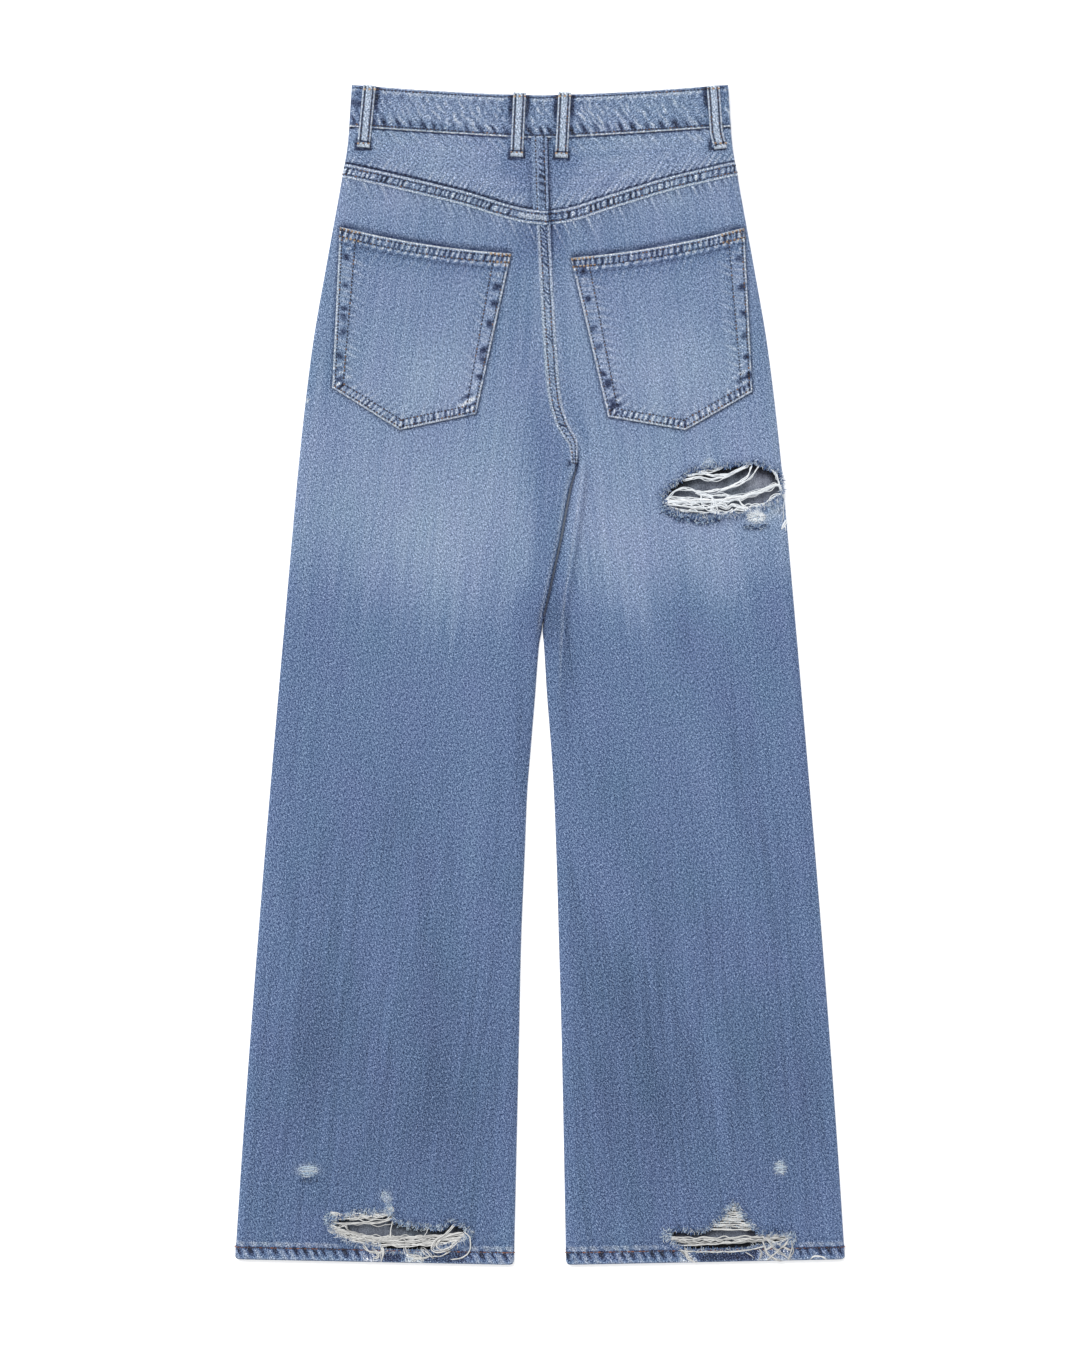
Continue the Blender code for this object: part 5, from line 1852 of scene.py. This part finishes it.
# Each colour's pitch, stitch length and thickness.
stitch_sizes = {"rust": (3.5, 1.6, 0.52), "tan": (3.3, 1.05, 0.78), "gold": (3.3, 1.2, 0.6)}
for number, (colour, paths) in enumerate(stitch_rows.items()):
    pitch, long, thick = (size * MM for size in stitch_sizes[colour])
    grown(
        path_object(f"rows_{colour}", paths), stitches, f"stitches_{colour}", pitch=pitch, length=long,
        thickness=thick, seed=number, material=threads[colour],
    )


# ---------------------------------------------------------------------------
# Torn yarns. In each rip the blue warp is gone and the white weft hangs across in
# loose bundles, and the torn edges are a fringe of short blue and white ends.

THIN = (0.34, 0.46)
FIRM = (0.38, 0.54)
STOUT = (0.5, 0.66)
FINE = (0.18, 0.30)
loose_yarns, frayed_yarns, warp_yarns = [], [], []


def smooth_path(points, gap=1.4):
    """A soft curve through a few points."""
    length = distances(points)
    table = np.column_stack((length, points))
    where = np.linspace(0, length[-1], max(int(length[-1] / gap), 6))
    return np.stack((Profile(table, 1)(where), Profile(table, 2)(where)), axis=-1), where


def sway(where, length, start):
    return np.sin(2 * np.pi * (where / length + start))


def yarns(points, seed, count, spread, wave, lift, thick, over=True, among=loose_yarns):
    """Lays `count` loose yarns along a path, over the cloth or hung across a rip.

    `lift` is their height over the cloth's level, from and to, and `thick` is their
    radius. They spread and waver less near their two tied ends.
    """
    random = np.random.default_rng(seed)
    base, where = smooth_path(points)
    travel = np.gradient(base, axis=0)
    travel /= np.linalg.norm(travel, axis=1, keepdims=True)
    right = np.stack((travel[:, 1], -travel[:, 0]), axis=-1)
    tied = np.sin(np.pi * (where / where[-1])) ** 0.35
    for _ in range(count):
        shift = random.normal(0, spread) * (0.35 + 0.65 * tied)
        for _ in range(3):
            length = random.uniform(9, 34)
            shift = shift + random.normal(0, wave) * sway(where, length, random.uniform()) * tied
        spot = base + shift[:, None] * right + random.normal(0, 0.08, (len(base), 2))
        x, y = spot.T
        height = random.uniform(*lift) + 0.35 * sway(where, random.uniform(14, 40), random.uniform())
        if over:
            z = leg_face(x, y) + rip_lift(x, y) + np.abs(height) + 0.35
        else:
            z = np.maximum(back_face(x, y) + height * tied + 0.25 * (1 - tied) + 0.6 * RIP_LIFT, 1.7)
        among.append((np.stack((x, y, z), axis=-1), random.uniform(*thick)))


def bundles(table):
    """Lays each row's yarns, hung across a rip unless its seed is in `over_cloth`."""
    for seed, count, spread, wave, lift, thick, points in table:
        yarns(points, seed, count, spread, wave, lift, thick, seed in over_cloth)


def torn_end(spot, way, bend, reach, far, seed, lift, thick, among):
    """One short bent yarn that stands out of the cloth at a spot."""
    elbow = spot + 0.5 * reach * np.array((math.cos(way), math.sin(way)))
    tip = spot + far * reach * np.array((math.cos(way + bend), math.sin(way + bend)))
    yarns([spot, elbow, tip], seed, 1, 0.05, 0.05, lift, thick, among=among)


def tuft(seed, x, y, width, height, count, length, thick=FINE, among=frayed_yarns):
    """Short torn ends that stand every way out of a worn place."""
    random = np.random.default_rng(seed)
    for number in range(count):
        turn, out = random.uniform(0, 2 * math.pi), math.sqrt(random.uniform(0, 1))
        spot = np.array((x + width / 2 * out * math.cos(turn), y + height / 2 * out * math.sin(turn)))
        way = turn + random.normal(0, 0.9)
        reach = length * random.uniform(0.4, 1.1)
        bend = random.normal(0, 0.5)
        torn_end(spot, way, bend, reach, 1, seed * 97 + number, (0, 0.5), thick, among)


# Bundles of yarns: seed, number, spread, waviness, lift, thickness, and the path. The
# right thigh's go from its upper edge down. These seeds' yarns lie over the cloth.
over_cloth = {14, 15, 18, 31, 32, 43}
bundles((
    (1, 5, 0.8, 0.3, (-0.6, 0.4), FIRM, ((137, 187), (151.5, 189.7), (163, 187.8), (176.5, 188.7),
     (190, 194.5), (197, 198.4))),
    (2, 5, 0.8, 0.3, (-0.8, 0.3), FIRM, ((134, 183), (147.7, 185.5), (161, 184), (175.5, 186.8),
     (183, 191.6), (197, 198))),
    (3, 3, 0.5, 0.3, (-0.3, 0.4), THIN, ((148, 191.5), (161, 191.6), (173.6, 196.8))),
    (4, 3, 0.5, 0.3, (-0.4, 0.5), FIRM, ((199, 197.5), (194.7, 186.8), (188, 182), (180.3, 178.2),
     (167.8, 174.4), (155.4, 172.4), (146, 173.4))),
    (5, 3, 0.5, 0.3, (-0.4, 0.6), FIRM, ((206, 198), (198.5, 186.8), (189.9, 181), (183.2, 178.2),
     (175.5, 175.3), (166, 172))),
    (6, 4, 0.7, 0.3, (0, 0.9), FIRM, ((117, 163), (120.9, 166.7), (126.6, 172.4), (134.3, 174.8),
     (142, 173.9), (147.7, 171.5), (155.4, 169.6), (161, 166.7), (162.6, 160.9), (161, 154.2),
     (166.9, 151.4), (173.6, 151.4), (178.4, 154.2))),
    (7, 8, 1.6, 0.6, (-1.4, 0.7), FIRM, ((115, 163.8), (127.6, 162.9), (151.5, 162.9), (174.6, 163.8),
     (186, 165.7), (195.7, 168.6), (205.2, 171.5), (214.8, 175.3), (221.5, 178.2), (229, 176.3))),
    (8, 5, 0.9, 0.45, (-1.6, 0.4), FIRM, ((146, 171), (160, 168.6), (173.6, 169.6), (180.3, 168.1),
     (189.9, 168.1), (197.6, 170.5), (209, 174.4), (222, 180.6))),
    (9, 7, 1.6, 0.75, (-1.4, 0.6), FIRM, ((115, 161), (132.4, 159), (155.4, 157), (166.9, 159),
     (175.5, 157.1), (180.3, 160), (185.1, 158), (195.7, 157.1), (205.2, 159), (214.8, 162.9),
     (222.5, 168.6), (229.3, 170.5))),
    (10, 3, 1, 0.5, (-1.2, 0.2), THIN, ((116, 157), (128, 155), (141, 153.5), (156, 152), (170, 153.5))),
    (11, 5, 0.8, 0.5, (-1.6, 0.4), FIRM, ((159, 153.3), (170.7, 150.9), (178.4, 153.3), (184.1, 155.2),
     (199.5, 154.2), (209, 157.1), (217.8, 160))),
    (12, 5, 0.9, 0.3, (0, 0.6), FIRM, ((214, 196.5), (221.5, 188.8), (224.4, 182), (226.3, 175.3),
     (230.2, 166.6))),
    (13, 4, 0.9, 0.5, (-1.6, 0.4), THIN, ((119, 168), (131, 167.4), (146, 166.5), (160, 165))),
    (16, 2, 0.4, 0.2, (0.5, 1.3), FIRM, ((151, 171), (153, 160), (158.5, 154.5), (166, 156), (164.5, 164),
     (156, 168))),
    (17, 3, 0.6, 0.4, (0.2, 1), THIN, ((186, 168), (190, 160), (196, 155), (203, 152.5))),
    (14, 1, 0.2, 0.2, (0.2, 0.5), THIN, ((226, 172), (229.8, 163), (229, 152), (227.5, 143.5))),
    (15, 4, 0.6, 0.2, (0.1, 0.4), STOUT, ((227, 137), (230, 142), (233, 147))),
    (18, 2, 0.3, 0.2, (0.1, 0.4), STOUT, ((228.5, 143), (230.5, 140), (231, 135.5))),
))
tuft(205, 203.5, 149.4, 15, 8, 110, 4.4, (0.30, 0.46), among=loose_yarns)
thigh_count = len(loose_yarns)

# The left hem, whose main bundle is thick and ends in a knot, and then the right.
bundles((
    (21, 4, 0.8, 0.3, (-0.6, 0.5), FIRM, ((-196, -515), (-180, -515.4), (-162, -515), (-148, -514),
     (-137.6, -510))),
    (22, 6, 1.1, 0.3, (-0.6, 0.5), FIRM, ((-179, -512), (-165, -509), (-148, -507.5), (-137, -505))),
    (23, 3, 0.8, 0.4, (-0.4, 0.4), THIN, ((-196, -511), (-183, -510), (-172, -507.5))),
    (24, 1, 0.3, 0.2, (0, 0.4), THIN, ((-161, -515), (-152, -517.6), (-138, -515))),
    (25, 2, 0.3, 0.2, (0.3, 0.8), FIRM, ((-137, -510), (-140, -520), (-141, -530))),
    (36, 1, 0.2, 0.1, (0.3, 0.8), THIN, ((-105, -518), (-107, -524), (-110, -528))),
    (26, 14, 2.9, 0.45, (-1.6, 1.1), (0.36, 0.62), ((-199, -520), (-188, -526), (-172, -530.5),
     (-150, -532.8), (-125, -533), (-100, -532), (-80, -530.6), (-68, -527))),
    (27, 5, 0.9, 0.4, (-0.8, 0.6), FIRM, ((-198, -516), (-188, -521), (-176, -525), (-160, -529.5),
     (-140, -529), (-118, -528.2), (-96, -527), (-74, -524))),
    (28, 3, 0.6, 0.4, (-0.2, 0.7), THIN, ((-196, -520), (-184, -522.5), (-176, -527), (-168, -533))),
    (29, 2, 0.5, 0.3, (-0.2, 1), FIRM, ((-170, -535), (-152, -536), (-125, -535.6), (-100, -535),
     (-84, -534.8))),
    (30, 4, 0.6, 0.25, (0.6, 1.7), FIRM, ((-79, -515), (-84, -520.5), (-91, -527), (-99, -534),
     (-101.5, -539), (-96.5, -542), (-88, -540), (-80, -534), (-74, -528))),
    (37, 3, 0.7, 0.3, (0.6, 1.7), FIRM, ((-72, -524), (-82, -526), (-92, -530), (-97, -536), (-91, -539.5),
     (-83, -536), (-76, -530))),
    (31, 2, 0.3, 0.1, (0.6, 1), FIRM, ((-72, -522.5), (-66, -529), (-65.6, -536.6), (-67.5, -542.7),
     (-75, -547.8), (-84, -549))),
    (32, 2, 0.6, 0.4, (0.2, 0.8), THIN, ((-112, -539), (-106, -545), (-96, -546), (-84, -541))),
    (41, 8, 1.5, 0.45, (-1.2, 0.9), (0.38, 0.58), ((116, -528), (130, -530.6), (146.8, -531.4),
     (173, -531.4), (199.5, -530), (225.9, -527.5), (238.5, -526))),
    (42, 3, 0.7, 0.3, (-0.8, 0.9), FIRM, ((122, -534), (131, -535.8), (150, -535), (173, -533.8),
     (193, -531))),
    (43, 3, 0.5, 0.3, (0.6, 1.2), THIN, ((130, -540.5), (145, -541.6), (173, -541.8), (196, -540),
     (212, -536))),
    (45, 3, 0.5, 0.3, (0.4, 1), FIRM, ((208, -527), (220, -533), (236, -540.5))),
    (46, 4, 0.7, 0.3, (0.4, 1), FIRM, ((210, -541), (222, -534), (238, -528))),
))
# The ladder of single wefts above the right hem's rip.
for row in range(12):
    level = -521 + 2.1 * row
    reach = max(2.2, 25 * (1 - (row + 0.4) / 12.2))
    middle = (181, level - 0.3 + 0.08 * (6 - row))
    rung = [(181.5 - reach - 1.5, level + 0.6), middle, (182.5 + reach, level + 0.3)]
    yarns(rung, 50 + row, 3, 0.55, 0.3, (-0.5, 0.3), THIN, False)

# Yarns that lie over a hem, down to its lower edge: seed, number, spread and path.
hem_start = len(loose_yarns)
for seed, count, spread, points in (
    (61, 4, 0.7, ((-166, -535), (-160, -541.5), (-154, -542), (-152, -546), (-157, -548.5))),
    (62, 5, 0.8, ((-150, -536), (-147.5, -541), (-148, -546), (-149, -551))),
    (63, 3, 0.7, ((-158, -538), (-152, -543), (-146, -541))),
    (64, 4, 1.2, ((-127, -537), (-124, -543), (-115, -545.5), (-109, -550))),
    (65, 2, 0.7, ((-112, -538), (-104, -543), (-100, -548))),
    (66, 3, 0.8, ((-121, -549.5), (-112, -547), (-104, -546))),
    (67, 5, 1, ((136, -538), (137.5, -543), (140, -548), (146.8, -552.5))),
    (68, 2, 0.7, ((131, -538.5), (138, -545), (144, -548))),
    (69, 3, 0.5, ((209, -531), (212, -540), (219, -548), (228, -551))),
    (70, 4, 0.5, ((234, -530), (226, -539), (213, -550))),
    (73, 2, 0.6, ((212, -530), (222, -540), (234, -549))),
    (74, 2, 0.5, ((236, -531), (237, -540), (233, -550))),
    (71, 3, 0.6, ((204, -537), (208, -543), (206, -550))),
    (75, 1, 0.4, ((190, -541), (197, -544), (201, -548))),
    (72, 2, 0.3, ((253.6, -549.4), (257, -546.6), (263, -546.4), (269.4, -549))),
):
    yarns(points, seed, count, spread, 0.35, (0.3, 0.9), (0.40, 0.56))
for path, _ in loose_yarns[hem_start:]:
    x, y, z = path.T
    path[:, 2] = np.maximum(z, hem_face(x, y, y - hem_edge(x)) + 0.5)


def thread_patch(x, y, width, height, seed):
    """A small worn place: a few short wefts that lie bare on the cloth."""
    random = np.random.default_rng(seed)
    for level in np.arange(-height / 2, height / 2, 1.25):
        round_off = math.sqrt(max(1 - (2 * level / (height * 1.15)) ** 2, 0.1))
        reach = width / 2 * round_off * random.uniform(0.75, 1.1)
        middle = x + random.normal(0, 0.8)
        low_y, high_y = (y + level + random.normal(0, 0.5) for _ in range(2))
        ends = [(middle - reach, low_y), (middle, y + level), (middle + reach, high_y)]
        number = seed * 31 + int(10 * level) + 900
        yarns(ends, number, 1, 0.2, 0.3, (0, 0.15), (0.28, 0.4), among=frayed_yarns)


thread_patch(-218.3, -465.8, 17, 11, 101)
thread_patch(225.6, -463.3, 10, 10.5, 102)
thread_patch(203.5, 148.5, 18, 11, 103)

# Tufts: seed, place, width, height, number of ends and their length.
for row in (
    (201, -218.3, -465.8, 16, 10.5, 46, 3.6), (202, -144, -490.5, 10, 9, 34, 3),
    (203, -142, -501, 5, 11, 40, 3), (204, 225.6, -463.3, 10, 10.5, 34, 3.6),
    (216, 181.5, -506, 20, 14, 60, 3.4), (217, 180, -516, 40, 5, 50, 3.4),
    (206, 158, 199.8, 12, 4.5, 26, 3.6), (207, -197, -512, 7, 12, 46, 5),
    (208, -160, -505.5, 44, 5, 60, 4.5), (209, -112, -518.5, 46, 4, 60, 3.6),
    (210, -68, -524, 7, 10, 36, 4), (211, 118.5, -526, 7, 9, 40, 4.6), (212, 236.5, -528.5, 6, 10, 40, 4.4),
    (213, -84.6, 278.7, 4, 3, 7, 2.4), (214, -219, 258, 3, 3, 6, 2.4), (215, 190, 297.5, 3, 2, 6, 2),
):
    tuft(*row)
bundles((
    (33, 7, 1.6, 0.7, (0.2, 0.9), THIN, ((-197, -505), (-186, -507.5), (-172, -506.5), (-160, -509.5),
     (-146, -507), (-138, -500))),
    (34, 4, 1.2, 0.5, (0.2, 0.9), THIN, ((-198, -517), (-190, -519.5), (-183, -516.5), (-180, -521.5))),
    (35, 4, 0.9, 0.5, (0.2, 0.9), THIN, ((-199, -522), (-190, -524), (-178, -523.5), (-166, -528))),
))

# Short blue warp ends and loops along the torn edges: seed, number, reach, spread,
# thickness and path.
for seed, count, length, spread, thick, points in (
    (301, 170, 3.8, 1.5, (0.34, 0.58), ((114, 166), (116, 157), (122, 151.5), (132.4, 147.5), (151.5, 144),
     (168, 146))),
    (302, 60, 3, 0.9, (0.26, 0.46), ((114, 169), (119, 176), (129, 183.5), (139, 192))),
    (303, 80, 2.8, 0.7, (0.26, 0.46), ((139, 192), (151.5, 196.5), (176.5, 198), (198.5, 200.5),
     (216, 196.5), (228, 189))),
    (304, 26, 3, 0.9, (0.26, 0.46), ((166, 147.5), (178, 149), (192, 149.5))),
    (305, 70, 3.2, 1.1, (0.28, 0.46), ((192, 139.6), (202, 138.6), (213, 141))),
    (306, 20, 3, 0.9, (0.26, 0.46), ((214, 158), (222, 156), (229, 154))),
    (307, 70, 3.2, 0.9, (0.26, 0.46), ((-136.5, -512), (-125, -515), (-113, -516), (-95.5, -519.5),
     (-90.9, -517), (-85, -510.5), (-78, -514), (-66, -521))),
    (308, 60, 3, 0.9, (0.26, 0.46), ((118, -523), (127, -520.5), (150, -521.5), (157, -519), (165, -513),
     (177, -500), (182, -495))),
    (309, 60, 3, 0.9, (0.26, 0.46), ((182, -495), (193, -508), (199, -516), (206, -522.6), (222, -523),
     (237, -524))),
    (310, 22, 2.6, 0.9, (0.26, 0.46), ((-226, -474), (-218, -475.5), (-211, -472))),
):
    random = np.random.default_rng(seed)
    base, _ = smooth_path(points)
    for number in range(count):
        spot = base[random.integers(len(base))] + random.normal(0, spread, 2)
        way, bend = random.uniform(0, 2 * math.pi), random.normal(0, 1.2)
        reach = length * random.uniform(0.5, 1.2)
        torn_end(spot, way, bend, reach, 0.8, seed * 89 + number, (0.1, 0.8), thick, warp_yarns)


def outline_of(start, radius, sides):
    circle = {"Resolution": sides, "Radius": radius}
    return start.node("GeometryNodeCurvePrimitiveCircle", {"mode": "RADIUS"}, circle)


def yarn_tree():
    start, inputs = new_tree("loose_yarns", (("Sides", "Int"),))
    radius = start.node("GeometryNodeInputRadius")
    outline = outline_of(start, 1, inputs["Sides"])
    tinted = with_tint(start, inputs["Geometry"], "CURVE", chance(start, 0, 1, 7))
    tube = start.node("GeometryNodeCurveToMesh", {}, {
        "Curve": tinted, "Profile Curve": outline, "Scale": radius, "Fill Caps": True,
    })
    return finish_tree(start, start.node("GeometryNodeSetShadeSmooth", {}, {"Geometry": tube}), inputs)


weft_white = thread_material("weft_white", ((0, 172, 172, 172), (0.35, 212, 212, 210), (1, 240, 240, 238)))
fuzz_white = thread_material("fuzz_white", ((0, 150, 176, 206), (0.3, 196, 216, 232), (1, 238, 245, 248)))
# The thigh's wefts glow faintly: painted light that makes them as bright as fully lit strands.
thigh_white_glow = thread_material(
    "thigh_white_glow", ((0, 192, 198, 205), (0.35, 228, 233, 238), (1, 248, 250, 252)), 0.09,
)
warp_blue = thread_material(
    "warp_blue", ((0, 22, 36, 68), (0.35, 58, 84, 128), (0.62, 134, 162, 198), (1, 214, 228, 240)),
)
tree = yarn_tree()
for name, lines, material, sides in (
    ("thigh_weft", loose_yarns[:thigh_count], thigh_white_glow, 5),
    ("loose_weft", loose_yarns[thigh_count:], weft_white, 5),
    ("frayed_weft", frayed_yarns, fuzz_white, 4),
    ("frayed_warp", warp_yarns, warp_blue, 4),
):
    carrier = path_object("yarn_paths", [path for path, _ in lines])
    for line, (path, thick) in zip(carrier.data.splines, lines):
        taper = np.clip(np.minimum(np.arange(len(path)), np.arange(len(path))[::-1]) / 2, 0.35, 1)
        line.points.foreach_set("radius", (thick * MM * taper).astype(np.float32))
    grown(carrier, tree, name, sides=sides, material=material)


def fringe_tree():
    start, inputs = new_tree("fringe", (
        ("Gap", "Float"), ("Length", "Float"), ("Thickness", "Float"), ("Swing", "Float"), ("Seed", "Int"),
    ))
    points = points_along(start, inputs, inputs["Gap"])
    tangent = Shade(start.tree, points.socket.node.outputs["Tangent"])
    axes = {"axis": "X", "pivot_axis": "Z"}
    along = start.node("FunctionNodeAlignRotationToVector", axes, {"Vector": tangent})
    swing = inputs["Swing"]
    turn = start.node("FunctionNodeRandomValue", {"data_type": "FLOAT_VECTOR"}, {
        "Seed": inputs["Seed"],
        "Min": start.node("ShaderNodeCombineXYZ", {}, {"X": -0.10, "Z": swing * -1}),
        "Max": start.node("ShaderNodeCombineXYZ", {}, {"X": 0.45, "Z": swing}),
    })
    turned = start.node("FunctionNodeRotateRotation", {"rotation_space": "LOCAL"}, {
        "Rotation": along, "Rotate By": start.node("FunctionNodeEulerToRotation", {}, {"Euler": turn}),
    })
    hair = start.node("GeometryNodeCurveQuadraticBezier", {}, {
        "Resolution": 4, "Start": (0, -0.35, 0), "Middle": (0, 0.45, 0.16), "End": (0.22, 1, 0.02),
    })
    size = {axis: inputs["Length"] for axis in "XYZ"}
    long = start.node("GeometryNodeTransform", {}, {
        "Geometry": hair, "Scale": start.node("ShaderNodeCombineXYZ", {}, size),
    })
    outline = outline_of(start, inputs["Thickness"], 3)
    tube = start.node("GeometryNodeCurveToMesh", {}, {"Curve": long, "Profile Curve": outline})
    return scattered(start, inputs, points, tube, turned, (0.35, 1.25), 5)


warp_ends = thread_material("warp_ends", (
    (0, 40, 66, 118), (0.3, 78, 108, 160), (0.58, 136, 164, 204), (0.78, 204, 218, 232), (1, 238, 241, 244),
))
fringe = fringe_tree()
for number, name in enumerate(rips):
    edge = ragged(number)
    edge = np.concatenate((edge, edge[:1]))
    for label, line, rise, gap, length, swing, seed in (
        ("in", edge, -0.1, 0.42, 3.3, 0.9, number + 3),
        ("out", edge[::-1], 0.35, 0.6, 2.9, 0.8, number + 13),
    ):
        x, y = line.T
        path = np.stack((x, y, back_face(x, y) + rip_lift(x, y) + rise), axis=-1)
        grown(
            path_object(f"edge_{label}", [path]), fringe, f"fringe_{label}_{name}", gap=gap * MM,
            length=length * MM, thickness=0.21 * MM, swing=swing, seed=seed, material=warp_ends,
        )
